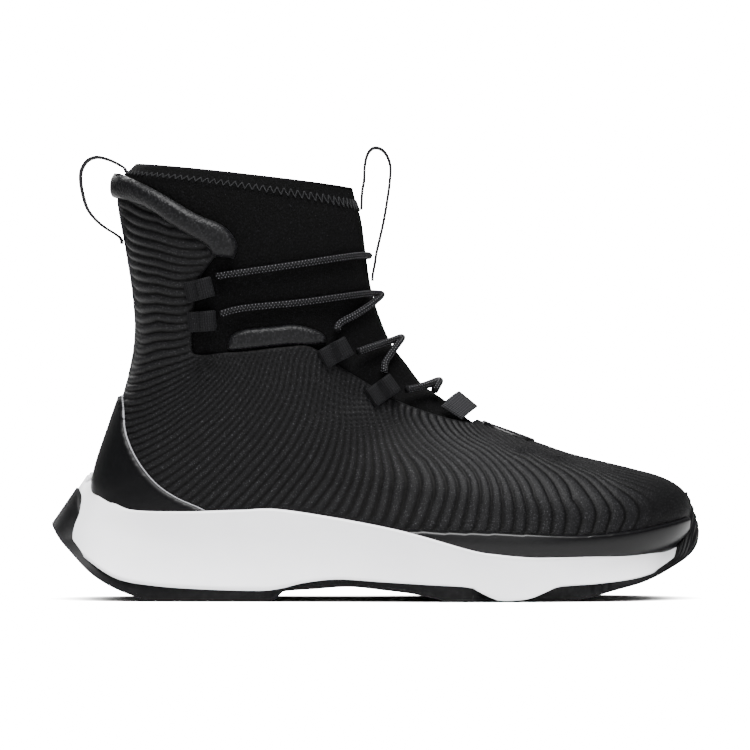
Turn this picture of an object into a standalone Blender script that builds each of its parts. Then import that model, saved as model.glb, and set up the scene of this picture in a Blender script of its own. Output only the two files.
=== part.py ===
"""Sneaker boot, right shoe: toe along +X, outer side along -Y, floor at Z = 0.

A ribbed shell closes round a sock-like bootie, and both stand in the cup of a foam midsole on a rubber
outsole. One last form, lofted from a table of sections that turn from level at the collar to upright at
the toe, gives every layer of the upper by its offset. Metres, +Z up.
"""
import math

import bmesh
import bpy
import numpy as np
from mathutils import Matrix, Vector

# Driving dimensions
LENGTH = 0.290          # outsole, heel tip to toe tip
BALL_WIDTH = 0.106      # midsole across the ball
SHAFT_WIDTH = 0.078     # shell across the ankle
SOLE_HEIGHT = 0.040     # midsole rim beside the heel, level 1
INSTEP_HEIGHT = 0.097   # tongue at the bend of the instep, level 2
COLLAR_HEIGHT = 0.194   # back of the collar, level 3

# Layers of the upper, from the last form outwards and inwards
GAP = 0.0003            # between pieces that touch
SHELL_WALL = 0.0018
BOOTIE_WALL = 0.0020
INSOLE_WALL = 0.0030
COUNTER_WALL = 0.0015
RAND_WALL = 0.0017
CUFF_WALL = 0.0030
LOBE_PROUD = 0.0012     # ankle lobe above the shell's face
TIP_WALL = 0.0009
BOOTIE_OUTER = -SHELL_WALL - GAP
BOOTIE_INNER = BOOTIE_OUTER - BOOTIE_WALL

# Sole
RIM_WALL = 0.0034       # foam round the upper at the cup's rim
FLOOR_INSET = 0.0160    # flange of the upper round the opening underneath
LOBE_FOOT = 0.0045      # width of the foam lobe that reaches the floor
SIDE_INSET = 0.0009     # rubber's side drawn in from the foam's edge
GROUND_INSET = 0.0018   # and at the floor
RIM_SINK = 0.0006       # rubber's rim above the foam's lower edge, before the foam is cut out of it
WRAP_RISE = 0.0020      # rubber's cap ring above its rim
SCOOP = 0.0042          # how far the foam's side is hollowed
TREAD_DEPTH = 0.0016
TREAD_WIDTH = 0.0030
RIDGE_DEPTH = 0.0006
SIDE_SHIFT = -0.00245    # sideways move of the whole boot that centres its widest points on Y = 0

# Webbing and lace
WEBBING = 0.0012        # thickness of every loop
EYELET_WIDTH = 0.0090
EYELET_TAIL = 0.0100
PULL_WIDTH = 0.0140
LACE = 0.0031
LACE_ROOM = 0.0007      # lace to the inside of an eyelet
SEAT = -0.0001          # underside of sewn webbing above the smooth form, whose facets lie lower

# Mesh density
AROUND = 20             # facets round a section
LACE_SIDES = 2          # bevel resolution of a lace

# Last form. Each row is one section, from its back or base point to its front or top point.
# back, front: along the shoe as shares of LENGTH.
# back_level, front_level: 1 is SOLE_HEIGHT, 2 INSTEP_HEIGHT, 3 COLLAR_HEIGHT.
# shaft, ball: half width as shares of SHAFT_WIDTH and of BALL_WIDTH.
# taper: narrower at the front when positive.
# front_round, back_round: 2 is an ellipse, more is squarer. swings: sideways shift as shares of BALL_WIDTH.
FORM_COLUMNS = ("back", "back_level", "front", "front_level", "shaft", "ball", "taper",
                "front_round", "back_round", "swing_front", "swing_back")
FORM_ROWS = (
    (-0.374, 3.010, -0.031, 2.892, 0.470, 0.000, 0.00, 2.2, 2.3, 0.000, 0.000),
    (-0.396, 2.933, -0.027, 2.845, 0.492, 0.000, 0.00, 2.2, 2.3, 0.000, 0.000),
    (-0.396, 2.814, -0.017, 2.753, 0.500, 0.000, 0.00, 2.2, 2.3, 0.000, 0.000),
    (-0.384, 2.608, -0.009, 2.598, 0.495, 0.000, 0.00, 2.2, 2.3, 0.000, 0.000),
    (-0.373, 2.392, -0.001, 2.438, 0.482, 0.000, 0.00, 2.2, 2.3, 0.000, 0.000),
    (-0.370, 2.216, 0.011, 2.314, 0.478, 0.000, 0.00, 2.1, 2.3, 0.005, 0.000),
    (-0.379, 2.041, 0.029, 2.188, 0.480, 0.000, -0.03, 2.1, 2.3, 0.008, 0.000),
    (-0.403, 1.702, 0.052, 2.095, 0.240, 0.178, -0.06, 2.1, 2.4, 0.012, 0.000),
    (-0.428, 1.316, 0.074, 2.008, 0.000, 0.357, -0.08, 2.1, 2.5, 0.016, 0.000),
    (-0.432, 1.088, 0.090, 1.951, 0.000, 0.362, -0.09, 2.1, 2.7, 0.018, 0.000),
    (-0.419, 0.800, 0.102, 1.911, 0.000, 0.366, -0.08, 2.1, 3.0, 0.020, 0.000),
    (-0.376, 0.580, 0.114, 1.867, 0.000, 0.370, -0.05, 2.1, 3.4, 0.022, 0.000),
    (-0.290, 0.540, 0.129, 1.807, 0.000, 0.375, 0.00, 2.1, 3.8, 0.024, -0.005),
    (-0.172, 0.515, 0.148, 1.728, 0.000, 0.384, 0.04, 2.1, 4.0, 0.026, -0.019),
    (-0.048, 0.440, 0.172, 1.660, 0.000, 0.405, 0.08, 2.1, 4.0, 0.030, -0.028),
    (0.062, 0.350, 0.207, 1.596, 0.000, 0.435, 0.10, 2.1, 4.0, 0.035, -0.019),
    (0.155, 0.300, 0.248, 1.519, 0.000, 0.460, 0.12, 2.1, 4.0, 0.042, 0.005),
    (0.241, 0.290, 0.297, 1.433, 0.000, 0.462, 0.12, 2.1, 4.0, 0.052, 0.028),
    (0.317, 0.310, 0.348, 1.368, 0.000, 0.438, 0.11, 2.1, 3.8, 0.064, 0.052),
    (0.379, 0.355, 0.395, 1.314, 0.000, 0.388, 0.10, 2.1, 3.4, 0.074, 0.071),
    (0.428, 0.445, 0.436, 1.260, 0.000, 0.310, 0.08, 2.1, 3.0, 0.084, 0.083),
    (0.460, 0.563, 0.4655, 1.184, 0.000, 0.222, 0.05, 2.1, 2.6, 0.090, 0.090),
    (0.479, 0.713, 0.481, 1.091, 0.000, 0.125, 0.00, 2.0, 2.2, 0.093, 0.093),
    (0.488, 0.913, 0.488, 0.913, 0.000, 0.000, 0.00, 2.0, 2.0, 0.094, 0.094),
)

# Plan of the sole: degrees round from the heel tip, half width and sideways swing as shares of BALL_WIDTH,
# foam lobe that reaches the floor (0 or 1), height of the rubber's rim above the foam's lower edge as
# levels, and how far the foam's side is hollowed as a share of SCOOP
PLAN_COLUMNS = ("turn", "half", "swing", "lobe", "lip", "scoop")
PLAN_ROWS = (
    (0, 0.000, 0.000, 0, 0.39, -0.35),
    (8, 0.108, 0.000, 0, 0.22, -0.30),
    (16, 0.212, 0.000, 0, 0.00, -0.05),
    (24, 0.292, 0.000, 0, 0.00, 0.35),
    (32, 0.343, 0.000, 0, 0.00, 0.80),
    (48.5, 0.389, 0.000, 0, 0.00, 1.00),
    (60, 0.394, -0.007, 0, 0.00, 0.90),
    (69.5, 0.390, -0.017, 0, 0.00, 0.70),
    (90, 0.408, -0.035, 0, 0.00, 0.40),
    (105, 0.460, -0.016, 0, 0.00, 0.20),
    (110, 0.474, -0.004, 1, 0.00, 0.10),
    (117, 0.488, 0.014, 1, 0.00, 0.10),
    (122.5, 0.493, 0.029, 1, 0.00, 0.10),
    (131, 0.477, 0.047, 0, 0.00, 0.20),
    (140, 0.436, 0.062, 0, 0.00, 0.25),
    (148, 0.376, 0.072, 0, 0.00, 0.20),
    (156, 0.292, 0.080, 0, 0.00, 0.10),
    (164, 0.213, 0.086, 0, 0.10, 0.00),
    (172, 0.115, 0.091, 0, 0.52, 0.00),
    (180, 0.000, 0.094, 0, 0.64, 0.00),
)

# Side view of the sole: place along as a share of LENGTH, heights as levels
GROUND = ((-0.500, 0.832), (-0.487, 0.688), (-0.471, 0.562), (-0.436, 0.308), (-0.401, 0.150),
          (-0.365, 0.050), (-0.334, 0.000), (-0.172, 0.000), (-0.146, 0.105), (-0.094, 0.140),
          (-0.040, 0.165), (0.012, 0.128), (0.055, 0.090), (0.088, 0.040), (0.126, 0.000),
          (0.272, 0.000), (0.314, 0.028), (0.361, 0.118), (0.411, 0.218), (0.452, 0.362),
          (0.482, 0.498), (0.4955, 0.620), (0.4995, 0.750))
EDGE = ((-0.481, 0.842), (-0.465, 0.620), (-0.436, 0.435), (-0.394, 0.250), (-0.341, 0.178),
        (-0.270, 0.140), (-0.179, 0.122), (-0.143, 0.150), (-0.111, 0.208), (-0.059, 0.250),
        (0.006, 0.222), (0.070, 0.195), (0.144, 0.162), (0.161, 0.095), (0.184, 0.024),
        (0.206, 0.020), (0.232, 0.040), (0.255, 0.105), (0.281, 0.178), (0.329, 0.195),
        (0.394, 0.250), (0.437, 0.340), (0.460, 0.430), (0.472, 0.490), (0.480, 0.540))
INNER = ((-0.481, 0.842), (-0.465, 0.620), (-0.436, 0.425), (-0.394, 0.240), (-0.341, 0.165),
         (-0.179, 0.140), (-0.111, 0.205), (-0.059, 0.240), (0.006, 0.215), (0.070, 0.175),
         (0.144, 0.155), (0.281, 0.160), (0.329, 0.190), (0.394, 0.250), (0.437, 0.340),
         (0.460, 0.425), (0.472, 0.480), (0.480, 0.530))
RIM = ((-0.441, 1.289), (-0.430, 1.188), (-0.410, 1.086), (-0.370, 1.004), (-0.322, 0.970),
       (-0.268, 1.000), (-0.203, 1.007), (-0.117, 1.004), (-0.094, 0.978), (-0.023, 0.888),
       (0.037, 0.782), (0.070, 0.688), (0.152, 0.562), (0.220, 0.498), (0.297, 0.498),
       (0.379, 0.522), (0.428, 0.575), (0.460, 0.620), (0.480, 0.680))

# Overlays and openings, as side outlines of (along, level)
CUFF_TOP = ((-0.391, 2.950), (-0.338, 2.875), (-0.276, 2.765), (-0.234, 2.710), (-0.216, 2.655),
            (-0.210, 2.609), (-0.216, 2.558))
CUFF_LOW = ((-0.247, 2.567), (-0.258, 2.618), (-0.279, 2.655), (-0.310, 2.710), (-0.350, 2.793),
            (-0.401, 2.848))
SHELL_TOP = ((-0.391, 2.935), (-0.338, 2.861), (-0.276, 2.750), (-0.238, 2.697), (-0.222, 2.650),
             (-0.217, 2.609), (-0.224, 2.572))
WINDOW = ((-0.247, 2.560), (-0.262, 2.500), (-0.272, 2.443), (-0.279, 2.320), (-0.282, 2.158),
          (-0.273, 2.121), (-0.231, 2.130), (-0.193, 2.139), (-0.137, 2.158), (-0.099, 2.158),
          (-0.056, 2.070), (-0.025, 2.015), (0.033, 1.853), (0.104, 1.728), (0.148, 1.688),
          (0.162, 1.760))
LOBE_TOP = ((-0.227, 2.150), (-0.223, 2.204), (-0.202, 2.236), (-0.160, 2.249), (-0.122, 2.259),
            (-0.090, 2.236), (-0.076, 2.208), (-0.074, 2.170))
LOBE_LOW = ((-0.099, 2.166), (-0.137, 2.165), (-0.193, 2.146), (-0.224, 2.139))
COUNTER_FRONT = ((-0.382, 2.031), (-0.388, 1.923), (-0.385, 1.775), (-0.381, 1.595), (-0.364, 1.398),
                 (-0.336, 1.219), (-0.303, 1.102), (-0.260, 1.004), (-0.235, 0.850))
RAND_TOP = ((0.040, 0.780), (0.070, 0.788), (0.103, 0.775), (0.200, 0.760), (0.297, 0.730),
            (0.379, 0.770), (0.443, 0.855), (0.4775, 0.920))
TIP_LOW = ((0.162, 1.664), (0.182, 1.630), (0.210, 1.574), (0.236, 1.528), (0.246, 1.530))

# Webbing eyelets: ring and end of the tail, both as (along, level) on the side of the form
EYELETS = (
    ("top", (-0.254, 2.428), (-0.290, 2.400)),
    ("ankle", (-0.250, 2.276), (-0.286, 2.268)),
    ("instep", (-0.0495, 2.153), (-0.0875, 2.088)),
    ("throat", (0.018, 1.958), (-0.012, 1.850)),
)
KEEPER = (0.117, 0.146)         # back and front edge of the keeper on the top line, as shares of LENGTH
KEEPER_TURN = 0.44              # how far it reaches down each side
KEEPER_RISE = 0.0046            # height of its arch over the lace

# Lace runs on one side: (along, level, height above the form), from the side to the middle of the front
BAR = ((-0.243, 2.478, 0.0008), (-0.196, 2.498, 0.0004), (-0.120, 2.531, 0.0002),
       (-0.056, 2.563, 0.0001), (-0.026, 2.576, 0.0001))
BAR_FRONT = (2.578, 0.0000)     # level of the bar on the front line, and its height above the form
STACK = 0.4                     # how far the upper cord of a crossing lies over the lower, in cords
CROSSINGS = (
    ("ankle", ((-0.236, 2.306, 0.0022), (-0.202, 2.333, 0.0004), (-0.120, 2.356, 0.0001),
               (-0.056, 2.384, 0.0002), (-0.012, 2.402, 0.0005)), 2.397, 0.0016,
     ((-0.010, 2.350, 0.0006), (-0.034, 2.300, 0.0003), (-0.057, 2.262, 0.0005), (-0.062, 2.226, 0.0022))),
    ("instep", ((-0.032, 2.128, 0.0030), (-0.013, 2.148, 0.0020), (0.014, 2.174, 0.0020)), 2.186, 0.0036,
     ((0.020, 2.124, 0.0018), (0.011, 2.080, 0.0014), (0.008, 2.038, 0.0026))),
    ("throat", ((0.042, 1.905, 0.0030), (0.066, 1.925, 0.0030)), 1.948, 0.0040,
     ((0.086, 1.900, 0.0022),)),
)

# Pull loops, seen from the side as (along, level)
FRONT_PULL = ((-0.0228, 2.790), (-0.0215, 2.870), (-0.0185, 2.925), (-0.0175, 2.990), (-0.013, 3.045),
              (-0.004, 3.072), (0.008, 3.066), (0.017, 3.035), (0.022, 2.985), (0.021, 2.920),
              (0.018, 2.850), (0.0125, 2.750), (0.006, 2.660), (0.0005, 2.590), (-0.002, 2.540),
              (-0.0052, 2.490), (-0.0056, 2.462))
BACK_PULL = ((-0.3845, 2.962), (-0.388, 2.982), (-0.403, 3.008), (-0.416, 3.023), (-0.430, 3.030),
             (-0.444, 3.014), (-0.453, 2.972), (-0.4545, 2.921), (-0.451, 2.858), (-0.444, 2.793),
             (-0.431, 2.742), (-0.416, 2.705), (-0.401, 2.677), (-0.3925, 2.655), (-0.3910, 2.632))

# Profile of the hollow in the foam's side: share of the way up from the lower edge, share of SCOOP
SCOOP_PROFILE = ((0.30, 0.80), (0.62, 1.00), (0.86, 0.45))

# Tread: centres of the grooves as shares of LENGTH, and half lengths as shares of BALL_WIDTH
GROOVES = ((-0.315, 0.6), (-0.280, 0.6), (-0.200, 0.6), (0.098, 0.6), (0.140, 0.6), (0.232, 0.6),
           (0.268, 0.6), (0.305, 0.6), (0.345, 0.6), (0.385, 0.6))
RIDGED = tuple(k / 8.0 for k in range(9))   # heights of the rubber's rings, as shares of its side
FAR = 0.300                                   # reach of a cutter past the part

LEVELS = (0.0, SOLE_HEIGHT, INSTEP_HEIGHT, COLLAR_HEIGHT)


def height(level):
    """Height above the floor at a level, straight on past the last one."""
    step = min(max(int(math.floor(level)), 0), len(LEVELS) - 2)
    return LEVELS[step] + (level - step) * (LEVELS[step + 1] - LEVELS[step])


def place(along, level):
    """Side-view point (x, z) in metres."""
    return along * LENGTH, height(level)


def slopes(xs, ys):
    """Slopes at the points of a curve that keeps flats flat and never overshoots."""
    steps = np.diff(ys) / np.diff(xs)
    inner = np.zeros(len(xs))
    for k in range(1, len(xs) - 1):
        if steps[k - 1] * steps[k] > 0.0:
            inner[k] = 2.0 * steps[k - 1] * steps[k] / (steps[k - 1] + steps[k])
    inner[0] = steps[0]
    inner[-1] = steps[-1]
    return inner


def read_curve(xs, ys, x):
    """Value at x of the smooth curve through the points."""
    xs = np.asarray(xs, dtype=float)
    ys = np.asarray(ys, dtype=float)
    x = np.clip(x, xs[0], xs[-1])
    k = np.clip(np.searchsorted(xs, x) - 1, 0, len(xs) - 2)
    tangent = slopes(xs, ys)
    span = xs[k + 1] - xs[k]
    u = (x - xs[k]) / span
    return ((1 + 2 * u) * (1 - u) ** 2 * ys[k] + u * (1 - u) ** 2 * span * tangent[k]
            + u * u * (3 - 2 * u) * ys[k + 1] + u * u * (u - 1) * span * tangent[k + 1])


def side_height(table, x):
    """Height at x of a side-view table of the sole."""
    xs = [along * LENGTH for along, level in table]
    zs = [height(level) for along, level in table]
    return float(read_curve(xs, zs, x))


def catmull(points, t):
    """Point of the smooth curve through the points at row number t, for an array of t."""
    points = np.asarray(points, dtype=float)
    last = len(points) - 1
    t = np.clip(np.asarray(t, dtype=float), 0.0, last)
    k = np.minimum(t.astype(int), last - 1)
    u = (t - k)[..., None]
    before = np.where((k > 0)[..., None], points[np.maximum(k - 1, 0)], 2 * points[0] - points[1])
    after = np.where((k + 2 <= last)[..., None], points[np.minimum(k + 2, last)],
                     2 * points[last] - points[last - 1])
    here = points[k]
    there = points[k + 1]
    return 0.5 * (2 * here + (there - before) * u + (2 * before - 5 * here + 4 * there - after) * u ** 2
                  + (3 * here - before - 3 * there + after) * u ** 3)


def smooth_path(points, per_span=2):
    """Points of a smooth open path through side-view or space points, ends included."""
    count = (len(points) - 1) * per_span + 1
    return [tuple(p) for p in catmull(points, np.linspace(0, len(points) - 1, count))]


class LastForm:
    """Closed form of the upper: surface points by row number t and turn round the section."""

    def __init__(self):
        rows = []
        for row in FORM_ROWS:
            cell = dict(zip(FORM_COLUMNS, row))
            back = place(cell["back"], cell["back_level"])
            front = place(cell["front"], cell["front_level"])
            half = cell["shaft"] * SHAFT_WIDTH + cell["ball"] * BALL_WIDTH
            rows.append((back[0], back[1], front[0], front[1], half, cell["taper"], cell["front_round"],
                         cell["back_round"], cell["swing_front"] * BALL_WIDTH,
                         cell["swing_back"] * BALL_WIDTH))
        self.rows = np.array(rows)
        self.last = len(rows) - 1
        self.samples = {}

    def base(self, t, turn):
        """Point on the form itself.

        Turn 0 is the front or top, pi the back or base, and below pi is the inner side."""
        values = catmull(self.rows, t)
        bx, bz, fx, fz, half, taper, front_round, back_round = np.moveaxis(values[..., :8], -1, 0)
        swing_front, swing_back = np.moveaxis(values[..., 8:], -1, 0)
        cosine = np.cos(turn)
        sine = np.sin(turn)
        power = np.where(cosine >= 0, front_round, back_round)
        reach = (np.abs(cosine) ** power + np.abs(sine) ** power) ** (-1.0 / power)
        ahead = cosine * reach
        aside = sine * reach
        x = (bx + fx) / 2 + (fx - bx) / 2 * ahead
        z = (bz + fz) / 2 + (fz - bz) / 2 * ahead
        swing = swing_front * (1 + ahead) / 2 + swing_back * (1 - ahead) / 2
        y = swing + np.maximum(half, 0.0) * aside * (1 - taper * ahead)
        return np.stack([x, y, z], axis=-1)

    def point(self, t, turn, offset=0.0):
        """Point at an offset along the outward normal."""
        t = np.asarray(t, dtype=float)
        turn = np.asarray(turn, dtype=float)
        t, turn = np.broadcast_arrays(t, turn)
        spot = self.base(t, turn)
        if offset == 0.0:
            return spot
        step = 0.02
        safe = np.minimum(t, self.last - 0.03)
        along = self.base(np.minimum(safe + step, self.last), turn) - self.base(safe - step, turn)
        round_ = self.base(safe, turn + step) - self.base(safe, turn - step)
        normal = np.cross(along, round_)
        normal /= np.maximum(np.linalg.norm(normal, axis=-1, keepdims=True), 1e-12)
        pole = np.clip((t - (self.last - 0.35)) / 0.35, 0.0, 1.0)[..., None] ** 2
        normal = normal * (1 - pole) + np.array([1.0, 0.0, 0.0]) * pole
        normal /= np.linalg.norm(normal, axis=-1, keepdims=True)
        return spot + offset * normal

    def find(self, x, z, side, offset=0.0):
        """Row number and turn of the surface point seen at (x, z) from one side (+1 inner, -1 outer)."""
        low_t, high_t = 0.0, float(self.last)
        low_turn, high_turn = (0.0, math.pi) if side > 0 else (math.pi, 2 * math.pi)
        t_low, t_high, turn_low, turn_high = low_t, high_t, low_turn, high_turn
        best = (0.0, low_turn)
        for count in (70, 9, 9, 9, 9, 9):
            ts, turns = np.meshgrid(np.linspace(t_low, t_high, count),
                                    np.linspace(turn_low, turn_high, max(count // 2, 9)), indexing="ij")
            spots = self.point(ts, turns, offset)
            miss = (spots[..., 0] - x) ** 2 + (spots[..., 2] - z) ** 2
            index = np.unravel_index(np.argmin(miss), miss.shape)
            best = (float(ts[index]), float(turns[index]))
            reach_t = (t_high - t_low) / (count - 1)
            reach_turn = (turn_high - turn_low) / (max(count // 2, 9) - 1)
            t_low, t_high = max(best[0] - reach_t, low_t), min(best[0] + reach_t, high_t)
            turn_low = max(best[1] - reach_turn, low_turn)
            turn_high = min(best[1] + reach_turn, high_turn)
        return best

    def seen(self, x, z, side, offset=0.0):
        """Surface point seen at (x, z) from one side."""
        t, turn = self.find(x, z, side, offset)
        return Vector(self.point(t, turn, offset))

    def rings(self, offset):
        """Loops of points from the collar to the last loop before the toe, and the toe point."""
        turns = np.arange(AROUND) * 2 * math.pi / AROUND
        loops = [self.point(np.full(AROUND, float(t)), turns, offset) for t in range(self.last)]
        toe = self.point(float(self.last), 0.0, offset)
        return loops, toe


FORM = LastForm()


def clear_scene():
    """Empty the file of objects."""
    for item in list(bpy.data.objects):
        bpy.data.objects.remove(item, do_unlink=True)


def make_collections():
    """Collections for the parts and for their cutters."""
    made = []
    for name in ("sneaker_boot", "cutters"):
        group = bpy.data.collections.new(name)
        bpy.context.scene.collection.children.link(group)
        made.append(group)
    return made


def make_material(name, colour, roughness, metallic=0.0):
    """Plain material for one sub-part."""
    material = bpy.data.materials.new(name)
    material.use_nodes = True
    shader = material.node_tree.nodes["Principled BSDF"]
    shader.inputs["Base Color"].default_value = (*colour, 1.0)
    shader.inputs["Roughness"].default_value = roughness
    shader.inputs["Metallic"].default_value = metallic
    return material


def new_object(name, mesh, group, material=None):
    """Object from a mesh, with its faces turned outwards, in a collection."""
    work = bmesh.new()
    work.from_mesh(mesh)
    bmesh.ops.remove_doubles(work, verts=work.verts, dist=0.000001)
    bmesh.ops.triangulate(work, faces=work.faces, quad_method='FIXED')
    bmesh.ops.recalc_face_normals(work, faces=work.faces)
    work.to_mesh(mesh)
    work.free()
    item = bpy.data.objects.new(name, mesh)
    group.objects.link(item)
    if material is not None:
        mesh.materials.append(material)
    if group.name == "cutters":
        item.hide_render = True
        item.display_type = 'WIRE'
    return item


def mesh_from(name, vertices, faces):
    """Mesh of vertices and faces."""
    mesh = bpy.data.meshes.new(name)
    mesh.from_pydata([tuple(float(c) for c in v) for v in vertices], [], faces)
    mesh.update()
    return mesh


def curve_mesh(name, curve, matrix):
    """Mesh of a curve in its place, with welded caps."""
    item = bpy.data.objects.new(name, curve)
    item.matrix_world = matrix
    bpy.context.scene.collection.objects.link(item)
    bpy.context.view_layer.update()
    evaluated = item.evaluated_get(bpy.context.evaluated_depsgraph_get())
    mesh = bpy.data.meshes.new_from_object(evaluated)
    mesh.transform(matrix)
    bpy.data.objects.remove(item)
    bpy.data.curves.remove(curve)
    return mesh


def outline_mesh(name, splines, thickness, matrix):
    """Flat outlines, the first one filled and the others holes, given a thickness and put in place."""
    curve = bpy.data.curves.new(name, 'CURVE')
    curve.dimensions = '2D'
    curve.fill_mode = 'BOTH'
    curve.extrude = thickness / 2
    for points in splines:
        spline = curve.splines.new('POLY')
        spline.points.add(len(points) - 1)
        for spot, (a, b) in zip(spline.points, points):
            spot.co = (a, b, 0.0, 1.0)
        spline.use_cyclic_u = True
    return curve_mesh(name, curve, matrix)


def side_block(name, outline, group, low=-FAR / 2, high=FAR / 2):
    """Block with a side-view outline of (x, z), from low to high across the shoe."""
    stand = Matrix.Translation((0.0, (low + high) / 2, 0.0)) @ Matrix.Rotation(math.pi / 2, 4, 'X')
    return new_object(name, outline_mesh(name, [outline], high - low, stand), group)


def tube_mesh(name, points, diameter):
    """Round cord through the points."""
    curve = bpy.data.curves.new(name, 'CURVE')
    curve.dimensions = '3D'
    curve.bevel_depth = diameter / 2
    curve.bevel_resolution = LACE_SIDES
    curve.use_fill_caps = True
    spline = curve.splines.new('POLY')
    spline.points.add(len(points) - 1)
    for spot, point in zip(spline.points, points):
        spot.co = (*point, 1.0)
    return curve_mesh(name, curve, Matrix.Identity(4))


def loop_faces(start_a, start_b, count):
    """Faces between two loops of the same count."""
    return [(start_a + k, start_a + (k + 1) % count, start_b + (k + 1) % count, start_b + k)
            for k in range(count)]


def form_lump(name, offset, group):
    """The form at an offset as a solid lump, closed at the collar."""
    loops, toe = FORM.rings(offset)
    vertices = [p for loop in loops for p in loop] + [toe]
    faces = []
    for k in range(len(loops) - 1):
        faces += loop_faces(k * AROUND, (k + 1) * AROUND, AROUND)
    last = (len(loops) - 1) * AROUND
    faces += [(last + k, last + (k + 1) % AROUND, len(vertices) - 1) for k in range(AROUND)]
    faces.append(tuple(range(AROUND)))
    return new_object(name, mesh_from(name, vertices, faces), group)


def form_skin(name, inner, outer, group, material=None):
    """Hollow skin of the form between two offsets, open at the collar."""
    outer_loops, outer_toe = FORM.rings(outer)
    inner_loops, inner_toe = FORM.rings(inner)
    vertices = [p for loop in outer_loops for p in loop] + [outer_toe]
    shift = len(vertices)
    vertices += [p for loop in inner_loops for p in loop] + [inner_toe]
    faces = []
    count = len(outer_loops)
    for base in (0, shift):
        for k in range(count - 1):
            faces += loop_faces(base + k * AROUND, base + (k + 1) * AROUND, AROUND)
        last = base + (count - 1) * AROUND
        faces += [(last + k, last + (k + 1) % AROUND, base + count * AROUND) for k in range(AROUND)]
    faces += loop_faces(0, shift, AROUND)
    return new_object(name, mesh_from(name, vertices, faces), group, material)


def swell(item, grow):
    """Move the faces of a closed mesh outwards by a distance."""
    work = bmesh.new()
    work.from_mesh(item.data)
    moves = [(vertex, vertex.normal * vertex.calc_shell_factor() * grow) for vertex in work.verts]
    for vertex, move in moves:
        vertex.co += move
    work.to_mesh(item.data)
    work.free()
    return item


def cut(item, cutter, operation='DIFFERENCE'):
    """Add one Boolean cut."""
    step = item.modifiers.new(cutter.name, 'BOOLEAN')
    step.operation = operation
    step.object = cutter


def plan_ring(rear, toe, inset, heights, lift=0.0, lobe_inset=0.0, wave=0.0):
    """Level loop of the sole: outer side from the heel to the toe, then the inner side back.

    rear and toe are its end points along X, inset draws the sides in, and heights gives Z from x or turn."""
    rows = [dict(zip(PLAN_COLUMNS, row)) for row in PLAN_ROWS]
    sides = {-1: [], 1: []}
    for row in rows:
        turn = math.radians(row["turn"])
        x = rear + (toe - rear) * (1 - math.cos(turn)) / 2
        ends = min(1.0, math.sin(turn) / math.sin(math.radians(30)))
        wrap = 1.0 if row["turn"] >= 164 else 0.0
        narrow = inset * ends + lobe_inset * row["lobe"] + wave * wrap
        half = max(row["half"] * BALL_WIDTH - narrow, 0.0)
        x += wave * wrap * math.cos(turn)
        for side in sides:
            y = row["swing"] * BALL_WIDTH + side * half
            sides[side].append((x, y, heights(x, row) + lift))
    return sides[-1] + sides[1][-2:0:-1]


def ring_solid(name, rings, group, material=None):
    """Solid through loops of the sole, its first and last loops closed by strips across the shoe."""
    size = len(rings[0])
    half = size // 2
    vertices = [p for ring in rings for p in ring]
    faces = []
    for k in range(len(rings) - 1):
        faces += loop_faces(k * size, (k + 1) * size, size)
    for base in (0, (len(rings) - 1) * size):
        faces.append((base, base + 1, base + size - 1))
        for k in range(1, half - 1):
            faces.append((base + k, base + k + 1, base + size - k - 1, base + size - k))
        faces.append((base + half - 1, base + half, base + half + 1))
    return new_object(name, mesh_from(name, vertices, faces), group, material)


def footbed(x):
    """Height of the form's base line at x."""
    first = 10
    return float(np.interp(x, FORM.rows[first:, 0], FORM.rows[first:, 1]))


def end_on_form(table, end):
    """Point of the rim at one end of the sole, on the back line of the form."""
    target = height(table[end][1])
    x = table[end][0] * LENGTH
    rows = (7, 11) if end == 0 else (19, FORM.last)
    ts = np.linspace(rows[0], rows[1], 400)
    spots = FORM.point(ts, np.full(len(ts), math.pi), RIM_WALL)
    k = int(np.argmin(np.abs(spots[:, 2] - target) + 0.1 * np.abs(spots[:, 0] - x)))
    return spots[k]


def rim_ring():
    """Top loop of the midsole, a rim's wall outside the form."""
    rear = end_on_form(RIM, 0)
    toe = end_on_form(RIM, -1)
    sides = {-1: [], 1: []}
    for row in PLAN_ROWS:
        turn = math.radians(row[0])
        x = rear[0] + (toe[0] - rear[0]) * (1 - math.cos(turn)) / 2
        z = side_height(RIM, x)
        for side in sides:
            if row[0] == 0:
                sides[side].append(tuple(rear))
            elif row[0] == 180:
                sides[side].append(tuple(toe))
            else:
                spot = FORM.seen(x, z, side, RIM_WALL)
                sides[side].append((x, spot.y, z))
    return sides[-1] + sides[1][-2:0:-1]


def blend_ring(low, high, share, scoop):
    """Loop between two loops, its sides drawn in by the scoop column."""
    size = len(low)
    mixed = []
    for k in range(size):
        row = PLAN_ROWS[k] if k <= size // 2 else PLAN_ROWS[size - k]
        a = Vector(low[k])
        b = Vector(high[k])
        spot = a.lerp(b, share)
        middle = Vector((spot.x, row[2] * BALL_WIDTH, spot.z))
        inward = (middle - spot)
        if row[0] in (0, 180):
            inward = Vector((1.0 if row[0] == 0 else -1.0, 0.0, 0.0))
        inward.normalize()
        mixed.append(tuple(spot + inward * scoop * row[5]))
    return mixed


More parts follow.
